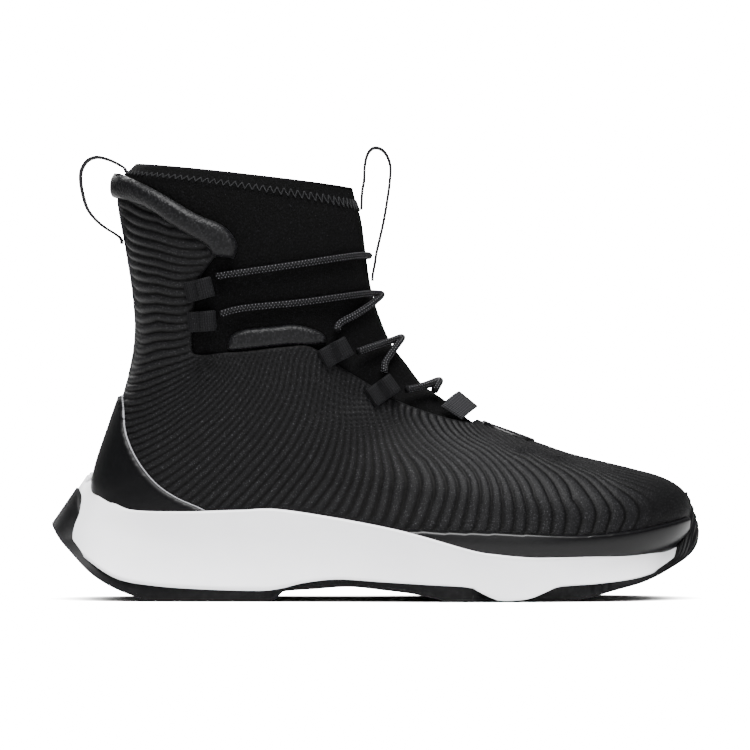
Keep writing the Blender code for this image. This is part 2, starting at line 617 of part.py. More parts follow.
def midsole_block(name, grow, group, material=None, top=0.0):
    """Midsole before its cup is cut, carried straight up by top and all its faces moved out by grow."""
    rear = EDGE[0][0] * LENGTH
    toe = EDGE[-1][0] * LENGTH

    def low(x, row):
        return side_height(EDGE, x)

    def inner(x, row):
        return side_height(INNER, x)

    edge = plan_ring(rear, toe, 0.0, low)
    foot = plan_ring(rear + LOBE_FOOT, toe - LOBE_FOOT, LOBE_FOOT, low)
    floor_inset = LOBE_FOOT + GROUND_INSET
    floor = plan_ring(rear + floor_inset, toe - floor_inset, floor_inset, inner)
    rim = rim_ring()
    rings = [floor, foot, edge]
    rings += [blend_ring(edge, rim, share, SCOOP * depth) for share, depth in SCOOP_PROFILE]
    rings.append(rim)
    if top > 0.0:
        rings.append([(x, y, z + top) for x, y, z in rim])
    return swell(ring_solid(name, rings, group, material), grow)


def rand_outline(raised):
    """Side outline of the band, its upper edge raised and its front end moved on by a gap."""
    points = [(x, z + raised) for x, z in [place(*p) for p in RAND_TOP]]
    right = points[-1][0] + raised
    points[-1] = (right, points[-1][1])
    return points + [(right, points[-1][1]), (right, height(0.20)), place(0.200, 0.200), place(0.040, 0.500)]


def build_outsole(parts, cutters, material):
    """Rubber outsole with heel lip, toe wrap, ridges and tread grooves."""
    rear = GROUND[0][0] * LENGTH
    toe = GROUND[-1][0] * LENGTH
    lip_rear = -0.461 * LENGTH
    wrap_toe = 0.4805 * LENGTH

    def ground(x, row):
        return side_height(GROUND, x)

    def side(share):
        def heights(x, row):
            edge_x = (EDGE[0][0] + (EDGE[-1][0] - EDGE[0][0]) * (1 - math.cos(math.radians(row["turn"]))) / 2)
            rim = side_height(EDGE, edge_x * LENGTH) + RIM_SINK + row["lip"] * SOLE_HEIGHT
            low_x = rear + (toe - rear) * (1 - math.cos(math.radians(row["turn"]))) / 2
            bottom = side_height(GROUND, low_x)
            return bottom + (max(rim, bottom + 0.0004) - bottom) * share
        return heights

    away = LOBE_FOOT + 0.0010
    rings = [plan_ring(rear + 0.0004, toe - 0.0004, GROUND_INSET, ground, lobe_inset=away)]
    for share in RIDGED[1:]:
        ring_rear = rear + (lip_rear - rear) * share
        ring_toe = toe + (wrap_toe - toe) * share ** 1.4
        wave = RIDGE_DEPTH if round(share * 8) % 2 == 0 and share < 1.0 else 0.0
        rings.append(plan_ring(ring_rear, ring_toe, SIDE_INSET, side(share), lobe_inset=away, wave=wave))
    rings.append(plan_ring(lip_rear + 0.003, wrap_toe - 0.003, 0.003, side(1.0), lift=WRAP_RISE,
                           lobe_inset=away))
    item = ring_solid("outsole", rings, parts, material)
    cut(item, midsole_block("midsole_room", GAP, cutters, top=0.001))
    cut(item, form_lump("wrap_room", GAP, cutters))
    room = form_skin("rand_room", -GAP, RAND_WALL + 2 * GAP, cutters)
    cut(room, side_block("rand_room_outline", rand_outline(GAP), cutters), 'INTERSECT')
    cut(item, room)
    for k, (along, half) in enumerate(GROOVES):
        x = along * LENGTH
        z = side_height(GROUND, x)
        bpy.ops.mesh.primitive_cube_add(size=1.0, location=(x, 0.0, z))
        box = bpy.context.active_object
        box.scale = (TREAD_WIDTH, 2 * half * BALL_WIDTH, 2 * TREAD_DEPTH)
        bpy.context.view_layer.update()
        mesh = box.data.copy()
        mesh.transform(box.matrix_world)
        bpy.data.objects.remove(box)
        cut(item, new_object("groove_%d" % k, mesh, cutters))
    return item


def build_midsole(parts, cutters, material):
    """Foam midsole with the cup that the upper stands in."""
    item = midsole_block("midsole", 0.0, parts, material)
    cut(item, form_lump("cup", GAP, cutters))
    return item


def floor_plug(name, grow, low, high, group):
    """Upright plug of the opening under the upper, between two heights over the base line."""
    rear = -0.5 * LENGTH + 1.9 * FLOOR_INSET - grow
    toe = 0.5 * LENGTH - 1.5 * FLOOR_INSET + grow

    def bottom(x, row):
        return footbed(x) + low

    def top(x, row):
        return footbed(x) + high

    rings = [plan_ring(rear, toe, FLOOR_INSET - grow, bottom), plan_ring(rear, toe, FLOOR_INSET - grow, top)]
    return ring_solid(name, rings, group)


def build_upper(parts, cutters, fabrics):
    """Bootie, shell and the overlays cut between offsets of the form."""
    opening = floor_plug("opening", 0.0, -0.010, 0.016, cutters)
    bootie = form_skin("bootie", BOOTIE_INNER, BOOTIE_OUTER, parts, fabrics["knit"])
    cut(bootie, opening)

    shell = form_skin("shell", -SHELL_WALL, 0.0, parts, fabrics["ribbed"])
    kept = [place(*p) for p in ((-0.60, 2.935),)]
    kept += [place(*p) for p in SHELL_TOP]
    kept += [place(*p) for p in WINDOW]
    kept += [place(*p) for p in ((0.170, 2.000), (0.600, 2.000), (0.600, -0.500), (-0.600, -0.500))]
    cut(shell, side_block("shell_outline", kept, cutters), 'INTERSECT')
    cut(shell, opening)

    foam = midsole_block("foam_room", GAP, cutters, top=GAP)
    counter = form_skin("heel_counter", GAP, GAP + COUNTER_WALL, parts, fabrics["film"])
    outline = [place(-0.60, 2.031)] + [place(*p) for p in COUNTER_FRONT]
    outline += [place(-0.60, 0.850)]
    cut(counter, side_block("counter_outline", outline, cutters), 'INTERSECT')
    cut(counter, foam)

    rand = form_skin("rand", GAP, GAP + RAND_WALL, parts, fabrics["band"])
    cut(rand, side_block("rand_outline", rand_outline(0.0), cutters), 'INTERSECT')
    cut(rand, foam)

    cuff = form_skin("cuff", GAP, GAP + CUFF_WALL, parts, fabrics["padded"])
    outline = [place(-0.60, 2.950)] + [place(*p) for p in CUFF_TOP]
    outline += [place(*p) for p in CUFF_LOW] + [place(-0.60, 2.848)]
    cut(cuff, side_block("cuff_outline", outline, cutters), 'INTERSECT')

    outline = [place(*p) for p in LOBE_TOP] + [place(*p) for p in LOBE_LOW]
    for name, low, high in (("ankle_lobe_outer", -FAR / 2, 0.0), ("ankle_lobe_inner", 0.0, FAR / 2)):
        lobe = form_skin(name, -SHELL_WALL, LOBE_PROUD, parts, fabrics["padded"])
        cut(lobe, side_block(name + "_outline", outline, cutters, low, high), 'INTERSECT')

    tip = form_skin("throat_tip", GAP, GAP + TIP_WALL, parts, fabrics["film"])
    outline = [place(*p) for p in TIP_LOW] + [place(0.25, 1.80), place(0.166, 1.80)]
    cut(tip, side_block("tip_outline", outline, cutters), 'INTERSECT')


def build_insole(parts, cutters, material):
    """Cupped insole, with the board that fills the opening under the upper."""
    outer = BOOTIE_INNER - GAP
    item = form_lump("insole", outer, parts)
    item.data.materials.append(material)
    room = floor_plug("insole_room", FLOOR_INSET + 0.02, -0.030, -outer + INSOLE_WALL + 0.0015, cutters)
    cut(item, room, 'INTERSECT')
    board = form_lump("board", 0.0, cutters)
    cut(board, floor_plug("board_outline", -GAP, -0.010, -outer + 0.0012, cutters), 'INTERSECT')
    cut(item, board, 'UNION')


def side_frame(ring, tail, side):
    """Matrix at the middle of an eyelet on one side: X to its ring, Y along the lace, Z outwards."""
    ring_spot = FORM.seen(*place(*ring), side)
    tail_spot = FORM.seen(*place(*tail), side)
    middle = place((ring[0] + tail[0]) / 2, (ring[1] + tail[1]) / 2)
    t, turn = FORM.find(*middle, side)
    spot = Vector(FORM.point(t, turn, 0.0))
    normal = (Vector(FORM.point(t, turn, 0.001)) - spot).normalized()
    ahead = ring_spot - tail_spot
    ahead = (ahead - normal * ahead.dot(normal)).normalized()
    across = normal.cross(ahead)
    frame = Matrix((ahead, across, normal)).transposed().to_4x4()
    return Matrix.Translation(spot) @ frame


def eyelet_mesh(name, matrix):
    """Webbing folded round the lace, with a tail sewn to the shell."""
    hole = LACE / 2 + LACE_ROOM
    outer = hole + WEBBING
    reach = EYELET_TAIL / 2
    low = SEAT
    centre = (reach, low + outer)
    arc = [math.radians(a) for a in range(-90, 181, 30)]
    outline = [(centre[0] + outer * math.cos(a), centre[1] + outer * math.sin(a)) for a in arc]
    outline += [(centre[0] - outer - WEBBING / 2, low + 2 * WEBBING)]
    outline += [(centre[0] - outer - 1.5 * WEBBING, low + WEBBING)]
    outline += [(-reach, low + WEBBING), (-reach, low)]
    ring = [math.radians(a) for a in range(0, 360, 36)]
    inside = [(centre[0] + hole * math.cos(a), centre[1] + hole * math.sin(a)) for a in ring]
    stand = Matrix.Rotation(math.pi / 2, 4, 'X')
    return outline_mesh(name, [outline, inside], EYELET_WIDTH, matrix @ stand)


def build_eyelets(parts, material):
    """Webbing eyelets on both sides, and the keeper over the end of the throat."""
    for name, ring, tail in EYELETS:
        for side, word in ((-1, "outer"), (1, "inner")):
            label = "eyelet_%s_%s" % (name, word)
            new_object(label, eyelet_mesh(label, side_frame(ring, tail, side)), parts, material)
    build_keeper(parts, material)


def build_keeper(parts, material):
    """Webbing strap arched over the end of the throat, from side to side."""
    steps = 13
    rows = []
    for along in KEEPER:
        t = ridge_row(along * LENGTH)
        turns = np.linspace(-KEEPER_TURN, KEEPER_TURN, steps)
        low = SEAT + WEBBING / 2
        rise = low + (KEEPER_RISE - low) * (1 - (turns / KEEPER_TURN) ** 4)
        rows.append([tuple(FORM.point(t, turn, lift)) for turn, lift in zip(turns, rise)])
    vertices = rows[0] + rows[1]
    faces = [(k, k + 1, steps + k + 1, steps + k) for k in range(steps - 1)]
    mesh = mesh_from("lace_keeper", vertices, faces)
    mesh.materials.append(material)
    item = bpy.data.objects.new("lace_keeper", mesh)
    parts.objects.link(item)
    wall = item.modifiers.new("webbing", 'SOLIDIFY')
    wall.thickness = WEBBING
    wall.offset = 0.0


def ridge_row(x):
    """Row number at which the top line of the foot passes x."""
    ts = np.linspace(7, FORM.last, 800)
    spots = FORM.base(ts, np.zeros(len(ts)))
    return float(ts[int(np.argmin(np.abs(spots[:, 0] - x)))])


def ridge_point(level, rise):
    """Space point on the front or top line of the form at a level."""
    ts = np.linspace(0, FORM.last, 1200)
    spots = FORM.point(ts, np.zeros(len(ts)), rise)
    return Vector(spots[int(np.argmin(np.abs(spots[:, 2] - height(level))))])


def side_route(points, front, front_rise, side):
    """Lace points over one side of the form, from its eyelet to just short of the middle of the front."""
    rows = [(*place(along, level), rise) for along, level, rise in points]
    rows.append((front.x, front.z, front_rise))
    route = []
    for x, z, rise in smooth_path(rows)[:-1]:
        t, turn = FORM.find(x, z, side)
        route.append(Vector(FORM.point(t, turn, rise)))
    return route


def lace_strand(upper, lower, level, rise, side):
    """One lace run: over the front from a side's upper points to the other side's lower points."""
    front = ridge_point(level, 0.0)
    route = side_route(upper, front, rise, side) + [ridge_point(level, rise)]
    return route + side_route(lower[::-1], front, rise, -side)[::-1]


def build_lace(parts, material):
    """Bar across the shaft and the three crossings, each one solid."""
    route = lace_strand(BAR, BAR[::-1], BAR_FRONT[0], BAR_FRONT[1], -1)
    new_object("lace_bar", tube_mesh("lace_bar", route, LACE), parts, material)
    for name, upper, level, rise, lower in CROSSINGS:
        label = "lace_crossing_" + name
        lifts = {-1: rise, 1: rise + LACE * STACK}
        strands = [tube_mesh("strand", lace_strand(upper, lower, level, lifts[side], side), LACE)
                   for side in (-1, 1)]
        item = new_object(label, strands[0], parts, material)
        other = new_object(label + "_strand", strands[1], bpy.data.collections["cutters"])
        cut(item, other, 'UNION')


def pull_loop(name, points, group, material):
    """Flat webbing loop that follows a side-view route."""
    route = smooth_path([place(*p) for p in points])
    half = PULL_WIDTH / 2
    vertices = [(x, side * half, z) for x, z in route for side in (-1, 1)]
    faces = [(2 * k, 2 * k + 1, 2 * k + 3, 2 * k + 2) for k in range(len(route) - 1)]
    mesh = mesh_from(name, vertices, faces)
    mesh.materials.append(material)
    item = bpy.data.objects.new(name, mesh)
    group.objects.link(item)
    wall = item.modifiers.new("webbing", 'SOLIDIFY')
    wall.thickness = WEBBING
    wall.offset = 0.0
    return item


def centre_part():
    """Move every mesh sideways so that the boot's box is centred on Y = 0."""
    for item in bpy.data.objects:
        item.data.transform(Matrix.Translation((0.0, SIDE_SHIFT, 0.0)))


def main():
    """Build the boot."""
    clear_scene()
    parts, cutters = make_collections()
    rubber = make_material("rubber", (0.012, 0.012, 0.013), 0.62)
    foam = make_material("foam", (0.80, 0.80, 0.82), 0.55)
    fabrics = {
        "knit": make_material("knit_neoprene", (0.008, 0.008, 0.009), 0.85),
        "ribbed": make_material("ribbed_textile", (0.016, 0.016, 0.018), 0.70),
        "film": make_material("matt_film", (0.014, 0.014, 0.015), 0.50),
        "band": make_material("satin_band", (0.010, 0.010, 0.011), 0.35),
        "padded": make_material("padded_synthetic", (0.018, 0.018, 0.020), 0.60),
    }
    webbing = make_material("webbing", (0.020, 0.020, 0.022), 0.80)
    cord = make_material("lace_cord", (0.014, 0.014, 0.016), 0.80)
    build_outsole(parts, cutters, rubber)
    build_midsole(parts, cutters, foam)
    build_upper(parts, cutters, fabrics)
    build_insole(parts, cutters, make_material("insole_foam", (0.05, 0.05, 0.055), 0.90))
    build_eyelets(parts, webbing)
    build_lace(parts, cord)
    pull_loop("pull_loop_front", FRONT_PULL, parts, webbing)
    pull_loop("pull_loop_back", BACK_PULL, parts, webbing)
    centre_part()


if __name__ == "__main__":
    main()
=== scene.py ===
import logging
import math
from dataclasses import dataclass
from enum import Enum
from typing import Callable, Sequence

import bmesh
import bpy
import numpy as np
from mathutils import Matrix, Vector
from mathutils.kdtree import KDTree


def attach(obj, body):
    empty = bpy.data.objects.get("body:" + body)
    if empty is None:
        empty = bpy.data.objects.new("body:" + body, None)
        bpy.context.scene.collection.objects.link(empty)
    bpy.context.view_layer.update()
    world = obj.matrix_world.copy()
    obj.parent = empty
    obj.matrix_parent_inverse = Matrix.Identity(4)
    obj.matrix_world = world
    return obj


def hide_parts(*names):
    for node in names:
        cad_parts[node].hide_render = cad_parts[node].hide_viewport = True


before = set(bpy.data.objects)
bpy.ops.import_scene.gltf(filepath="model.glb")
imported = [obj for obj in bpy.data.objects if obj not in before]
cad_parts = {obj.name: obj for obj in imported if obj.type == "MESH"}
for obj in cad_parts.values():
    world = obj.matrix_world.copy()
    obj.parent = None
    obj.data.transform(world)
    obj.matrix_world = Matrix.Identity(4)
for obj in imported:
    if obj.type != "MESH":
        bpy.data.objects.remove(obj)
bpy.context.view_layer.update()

LOG = logging.getLogger("sneaker_boot")

# Driving sizes in metres: toe along +X, outer side along -Y, floor at Z = 0
LENGTH = 0.290
BALL_WIDTH = 0.106
SHAFT_WIDTH = 0.078
LEVEL_HEIGHTS = (0.0, 0.040, 0.097, 0.194)      # floor, heel rim, instep, collar
SIDE_SHIFT = -0.00245

GAP = 0.0003
SHELL_WALL = 0.0018
BOOTIE_OUTER = -0.0021
BOOTIE_INNER = -0.0041
RIM_WALL = 0.0034
SCOOP = 0.0042
LOBE_FOOT = 0.0045
WEBBING = 0.0012
LACE = 0.0031
LACE_ROOM = 0.0007
EYELET_WIDTH = 0.0090
EYELET_TAIL = 0.0100
PULL_WIDTH = 0.0140
STACK = 0.4

# Last form: each row is one section from its back or base point to its front or top point. Places along are
# shares of LENGTH, heights are levels of LEVEL_HEIGHTS, half widths and swings are shares of the two widths.
FORM_COLUMNS = ("back", "back_level", "front", "front_level", "shaft", "ball", "taper",
                "front_round", "back_round", "swing_front", "swing_back")
FORM_ROWS = (
    (-0.374, 3.010, -0.031, 2.892, 0.470, 0.000, 0.00, 2.2, 2.3, 0.000, 0.000),
    (-0.396, 2.933, -0.027, 2.845, 0.492, 0.000, 0.00, 2.2, 2.3, 0.000, 0.000),
    (-0.396, 2.814, -0.017, 2.753, 0.500, 0.000, 0.00, 2.2, 2.3, 0.000, 0.000),
    (-0.384, 2.608, -0.009, 2.598, 0.495, 0.000, 0.00, 2.2, 2.3, 0.000, 0.000),
    (-0.373, 2.392, -0.001, 2.438, 0.482, 0.000, 0.00, 2.2, 2.3, 0.000, 0.000),
    (-0.370, 2.216, 0.011, 2.314, 0.478, 0.000, 0.00, 2.1, 2.3, 0.005, 0.000),
    (-0.379, 2.041, 0.029, 2.188, 0.480, 0.000, -0.03, 2.1, 2.3, 0.008, 0.000),
    (-0.403, 1.702, 0.052, 2.095, 0.240, 0.178, -0.06, 2.1, 2.4, 0.012, 0.000),
    (-0.428, 1.316, 0.074, 2.008, 0.000, 0.357, -0.08, 2.1, 2.5, 0.016, 0.000),
    (-0.432, 1.088, 0.090, 1.951, 0.000, 0.362, -0.09, 2.1, 2.7, 0.018, 0.000),
    (-0.419, 0.800, 0.102, 1.911, 0.000, 0.366, -0.08, 2.1, 3.0, 0.020, 0.000),
    (-0.376, 0.580, 0.114, 1.867, 0.000, 0.370, -0.05, 2.1, 3.4, 0.022, 0.000),
    (-0.290, 0.540, 0.129, 1.807, 0.000, 0.375, 0.00, 2.1, 3.8, 0.024, -0.005),
    (-0.172, 0.515, 0.148, 1.728, 0.000, 0.384, 0.04, 2.1, 4.0, 0.026, -0.019),
    (-0.048, 0.440, 0.172, 1.660, 0.000, 0.405, 0.08, 2.1, 4.0, 0.030, -0.028),
    (0.062, 0.350, 0.207, 1.596, 0.000, 0.435, 0.10, 2.1, 4.0, 0.035, -0.019),
    (0.155, 0.300, 0.248, 1.519, 0.000, 0.460, 0.12, 2.1, 4.0, 0.042, 0.005),
    (0.241, 0.290, 0.297, 1.433, 0.000, 0.462, 0.12, 2.1, 4.0, 0.052, 0.028),
    (0.317, 0.310, 0.348, 1.368, 0.000, 0.438, 0.11, 2.1, 3.8, 0.064, 0.052),
    (0.379, 0.355, 0.395, 1.314, 0.000, 0.388, 0.10, 2.1, 3.4, 0.074, 0.071),
    (0.428, 0.445, 0.436, 1.260, 0.000, 0.310, 0.08, 2.1, 3.0, 0.084, 0.083),
    (0.460, 0.563, 0.4655, 1.184, 0.000, 0.222, 0.05, 2.1, 2.6, 0.090, 0.090),
    (0.479, 0.713, 0.481, 1.091, 0.000, 0.125, 0.00, 2.0, 2.2, 0.093, 0.093),
    (0.488, 0.913, 0.488, 0.913, 0.000, 0.000, 0.00, 2.0, 2.0, 0.094, 0.094),
)

# Plan of the sole: degrees round from the heel tip, half width and swing as shares of BALL_WIDTH, foam lobe on
# the floor, height of the rubber's lip as levels, share of SCOOP
PLAN_COLUMNS = ("turn", "half", "swing", "lobe", "lip", "scoop")
PLAN_ROWS = (
    (0, 0.000, 0.000, 0, 0.39, -0.35),
    (8, 0.108, 0.000, 0, 0.22, -0.30),
    (16, 0.212, 0.000, 0, 0.00, -0.05),
    (24, 0.292, 0.000, 0, 0.00, 0.35),
    (32, 0.343, 0.000, 0, 0.00, 0.80),
    (48.5, 0.389, 0.000, 0, 0.00, 1.00),
    (60, 0.394, -0.007, 0, 0.00, 0.90),
    (69.5, 0.390, -0.017, 0, 0.00, 0.70),
    (90, 0.408, -0.035, 0, 0.00, 0.40),
    (105, 0.460, -0.016, 0, 0.00, 0.20),
    (110, 0.474, -0.004, 1, 0.00, 0.10),
    (117, 0.488, 0.014, 1, 0.00, 0.10),
    (122.5, 0.493, 0.029, 1, 0.00, 0.10),
    (131, 0.477, 0.047, 0, 0.00, 0.20),
    (140, 0.436, 0.062, 0, 0.00, 0.25),
    (148, 0.376, 0.072, 0, 0.00, 0.20),
    (156, 0.292, 0.080, 0, 0.00, 0.10),
    (164, 0.213, 0.086, 0, 0.10, 0.00),
    (172, 0.115, 0.091, 0, 0.52, 0.00),
    (180, 0.000, 0.094, 0, 0.64, 0.00),
)

# Side view of the sole: place along as a share of LENGTH, height as a level
GROUND = ((-0.500, 0.832), (-0.487, 0.688), (-0.471, 0.562), (-0.436, 0.308), (-0.401, 0.150),
          (-0.365, 0.050), (-0.334, 0.000), (-0.172, 0.000), (-0.146, 0.105), (-0.094, 0.140),
          (-0.040, 0.165), (0.012, 0.128), (0.055, 0.090), (0.088, 0.040), (0.126, 0.000),
          (0.272, 0.000), (0.314, 0.028), (0.361, 0.118), (0.411, 0.218), (0.452, 0.362),
          (0.482, 0.498), (0.4955, 0.620), (0.4995, 0.750))
EDGE = ((-0.481, 0.842), (-0.465, 0.620), (-0.436, 0.435), (-0.394, 0.250), (-0.341, 0.178),
        (-0.270, 0.140), (-0.179, 0.122), (-0.143, 0.150), (-0.111, 0.208), (-0.059, 0.250),
        (0.006, 0.222), (0.070, 0.195), (0.144, 0.162), (0.161, 0.095), (0.184, 0.024),
        (0.206, 0.020), (0.232, 0.040), (0.255, 0.105), (0.281, 0.178), (0.329, 0.195),
        (0.394, 0.250), (0.437, 0.340), (0.460, 0.430), (0.472, 0.490), (0.480, 0.540))
INNER = ((-0.481, 0.842), (-0.465, 0.620), (-0.436, 0.425), (-0.394, 0.240), (-0.341, 0.165),
         (-0.179, 0.140), (-0.111, 0.205), (-0.059, 0.240), (0.006, 0.215), (0.070, 0.175),
         (0.144, 0.155), (0.281, 0.160), (0.329, 0.190), (0.394, 0.250), (0.437, 0.340),
         (0.460, 0.425), (0.472, 0.480), (0.480, 0.530))
RIM = ((-0.441, 1.289), (-0.430, 1.188), (-0.410, 1.086), (-0.370, 1.004), (-0.322, 0.970),
       (-0.268, 1.000), (-0.203, 1.007), (-0.117, 1.004), (-0.094, 0.978), (-0.023, 0.888),
       (0.037, 0.782), (0.070, 0.688), (0.152, 0.562), (0.220, 0.498), (0.297, 0.498),
       (0.379, 0.522), (0.428, 0.575), (0.460, 0.620), (0.480, 0.680))
SCOOP_PROFILE = ((0.0, 0.0), (0.30, 0.80), (0.62, 1.00), (0.86, 0.45), (1.0, 0.0))

# Edges of the upper's layers in the side view, as (along, level)
CUFF_TOP = ((-0.391, 2.950), (-0.338, 2.875), (-0.276, 2.765), (-0.234, 2.710), (-0.216, 2.655),
            (-0.210, 2.609), (-0.216, 2.558))
CUFF_LOW = ((-0.247, 2.567), (-0.258, 2.618), (-0.279, 2.655), (-0.310, 2.710), (-0.350, 2.793),
            (-0.401, 2.848))
SHELL_TOP = ((-0.391, 2.935), (-0.338, 2.861), (-0.276, 2.750), (-0.238, 2.697), (-0.222, 2.650),
             (-0.217, 2.609), (-0.224, 2.572))
WINDOW = ((-0.247, 2.560), (-0.262, 2.500), (-0.272, 2.443), (-0.279, 2.320), (-0.282, 2.158),
          (-0.273, 2.121), (-0.231, 2.130), (-0.193, 2.139), (-0.137, 2.158), (-0.099, 2.158),
          (-0.056, 2.070), (-0.025, 2.015), (0.033, 1.853), (0.104, 1.728), (0.148, 1.688),
          (0.162, 1.760))
LOBE_TOP = ((-0.227, 2.150), (-0.223, 2.204), (-0.202, 2.236), (-0.160, 2.249), (-0.122, 2.259),
            (-0.090, 2.236), (-0.076, 2.208), (-0.074, 2.170))
LOBE_LOW = ((-0.099, 2.166), (-0.137, 2.165), (-0.193, 2.146), (-0.224, 2.139))
COUNTER_FRONT = ((-0.382, 2.031), (-0.388, 1.923), (-0.385, 1.775), (-0.381, 1.595), (-0.364, 1.398),
                 (-0.336, 1.219), (-0.303, 1.102), (-0.260, 1.004), (-0.235, 0.850))
RAND_TOP = ((0.040, 0.780), (0.070, 0.788), (0.103, 0.775), (0.200, 0.760), (0.297, 0.730),
            (0.379, 0.770), (0.443, 0.855), (0.4775, 0.920))
TIP_LOW = ((0.162, 1.664), (0.182, 1.630), (0.210, 1.574), (0.236, 1.528), (0.246, 1.530))

# Ribs of the shell: number of the rib, then places on its crest in the side view, as (along, level)
RIBS = (
    (0, ((-0.396, 2.844), (-0.379, 2.830), (-0.348, 2.774), (-0.317, 2.738))),
    (1, ((-0.393, 2.802), (-0.364, 2.751), (-0.333, 2.724), (-0.302, 2.701))),
    (2, ((-0.388, 2.751), (-0.364, 2.705), (-0.333, 2.678), (-0.271, 2.655))),
    (3, ((-0.385, 2.705), (-0.364, 2.664), (-0.333, 2.636), (-0.253, 2.618))),
    (5, ((-0.382, 2.618), (-0.364, 2.581), (-0.333, 2.558), (-0.248, 2.540))),
    (7, ((-0.379, 2.535), (-0.364, 2.508), (-0.333, 2.484), (-0.279, 2.466))),
    (9, ((-0.374, 2.448), (-0.333, 2.402), (-0.287, 2.388))),
    (12, ((-0.370, 2.296), (-0.333, 2.277), (-0.284, 2.273))),
    (15, ((-0.370, 2.153), (-0.330, 2.148), (-0.287, 2.171))),
    (17, ((-0.379, 2.038), (-0.348, 2.047), (-0.310, 2.079), (-0.274, 2.116))),
    (19, ((-0.381, 1.924), (-0.348, 1.947), (-0.310, 2.015), (-0.279, 2.061), (-0.253, 2.116))),
    (22, ((-0.382, 1.751), (-0.348, 1.790), (-0.302, 1.908), (-0.264, 2.043), (-0.240, 2.116))),
    (27, ((-0.378, 1.485), (-0.341, 1.563), (-0.294, 1.720), (-0.248, 1.908), (-0.213, 2.075), (-0.205, 2.130))),
    (32, ((-0.351, 1.234), (-0.310, 1.352), (-0.264, 1.532), (-0.217, 1.759), (-0.182, 2.006), (-0.167, 2.135))),
    (37, ((-0.290, 1.054), (-0.248, 1.242), (-0.210, 1.446), (-0.167, 1.712), (-0.140, 1.963), (-0.130, 2.135))),
    (42, ((-0.210, 1.007), (-0.171, 1.211), (-0.133, 1.446), (-0.103, 1.720), (-0.091, 1.994), (-0.087, 2.116))),
    (48, ((-0.099, 1.007), (-0.068, 1.211), (-0.051, 1.446), (-0.045, 1.696), (-0.045, 2.029))),
    (54, ((0.014, 0.932), (0.023, 1.148), (0.021, 1.383), (0.010, 1.618), (-0.006, 1.853))),
    (57, ((0.075, 0.910), (0.087, 1.109), (0.086, 1.266), (0.074, 1.383), (0.044, 1.540), (0.027, 1.712))),
    (60, ((0.132, 0.876), (0.140, 1.093), (0.140, 1.242), (0.118, 1.383), (0.081, 1.540), (0.055, 1.728))),
    (63, ((0.191, 0.854), (0.191, 1.085), (0.178, 1.305), (0.147, 1.461), (0.107, 1.602))),
    (66, ((0.249, 0.854), (0.240, 1.109), (0.214, 1.328), (0.175, 1.493), (0.141, 1.587))),
    (69, ((0.312, 0.876), (0.298, 1.093), (0.272, 1.305), (0.229, 1.446), (0.178, 1.555))),
    (72, ((0.378, 0.899), (0.363, 1.109), (0.329, 1.273), (0.283, 1.383), (0.221, 1.477))),
    (75, ((0.449, 1.031), (0.429, 1.125), (0.391, 1.211), (0.345, 1.297), (0.277, 1.407))),
    (78, ((0.483, 1.031), (0.462, 1.156), (0.422, 1.234), (0.363, 1.305))),
)

# Webbing eyelets: ring and end of the tail, both as (along, level) on the side of the form
EYELETS = (
    ("top", (-0.254, 2.428), (-0.290, 2.400)),
    ("ankle", (-0.250, 2.276), (-0.286, 2.268)),
    ("instep", (-0.0495, 2.153), (-0.0875, 2.088)),
    ("throat", (0.018, 1.958), (-0.012, 1.850)),
)
KEEPER = (0.117, 0.146)         # back and front edge of the keeper on the top line, as shares of LENGTH
KEEPER_TURN = 0.44              # how far it reaches down each side
KEEPER_RISE = 0.0046            # height of its arch over the lace

# Lace runs on one side: (along, level, height above the form), from the side to the middle of the front
BAR = ((-0.243, 2.478, 0.0008), (-0.196, 2.498, 0.0004), (-0.120, 2.531, 0.0002),
       (-0.056, 2.563, 0.0001), (-0.026, 2.576, 0.0001))
BAR_FRONT = (2.578, 0.0000)     # level of the bar on the front line, and its height above the form
CROSSINGS = (
    ("ankle", ((-0.236, 2.306, 0.0022), (-0.202, 2.333, 0.0004), (-0.120, 2.356, 0.0001),
               (-0.056, 2.384, 0.0002), (-0.012, 2.402, 0.0005)), 2.397, 0.0016,
     ((-0.010, 2.350, 0.0006), (-0.034, 2.300, 0.0003), (-0.057, 2.262, 0.0005), (-0.062, 2.226, 0.0022))),
    ("instep", ((-0.032, 2.128, 0.0030), (-0.013, 2.148, 0.0020), (0.014, 2.174, 0.0020)), 2.186, 0.0036,
     ((0.020, 2.124, 0.0018), (0.011, 2.080, 0.0014), (0.008, 2.038, 0.0026))),
    ("throat", ((0.042, 1.905, 0.0030), (0.066, 1.925, 0.0030)), 1.948, 0.0040,
     ((0.086, 1.900, 0.0022),)),
)

# Pull loops, seen from the side as (along, level)
FRONT_PULL = ((-0.0228, 2.790), (-0.0215, 2.870), (-0.0185, 2.925), (-0.0175, 2.990), (-0.013, 3.045),
              (-0.004, 3.072), (0.008, 3.066), (0.017, 3.035), (0.022, 2.985), (0.021, 2.920),
              (0.018, 2.850), (0.0125, 2.750), (0.006, 2.660), (0.0005, 2.590), (-0.002, 2.540),
              (-0.0052, 2.490), (-0.0056, 2.462))
BACK_PULL = ((-0.3845, 2.962), (-0.388, 2.982), (-0.403, 3.008), (-0.416, 3.023), (-0.430, 3.030),
             (-0.444, 3.014), (-0.453, 2.972), (-0.4545, 2.921), (-0.451, 2.858), (-0.444, 2.793),
             (-0.431, 2.742), (-0.416, 2.705), (-0.401, 2.677), (-0.3925, 2.655), (-0.3910, 2.632))


def height(level: float) -> float:
    """Height above the floor at a level."""
    step = min(max(int(math.floor(level)), 0), len(LEVEL_HEIGHTS) - 2)
    return LEVEL_HEIGHTS[step] + (level - step) * (LEVEL_HEIGHTS[step + 1] - LEVEL_HEIGHTS[step])


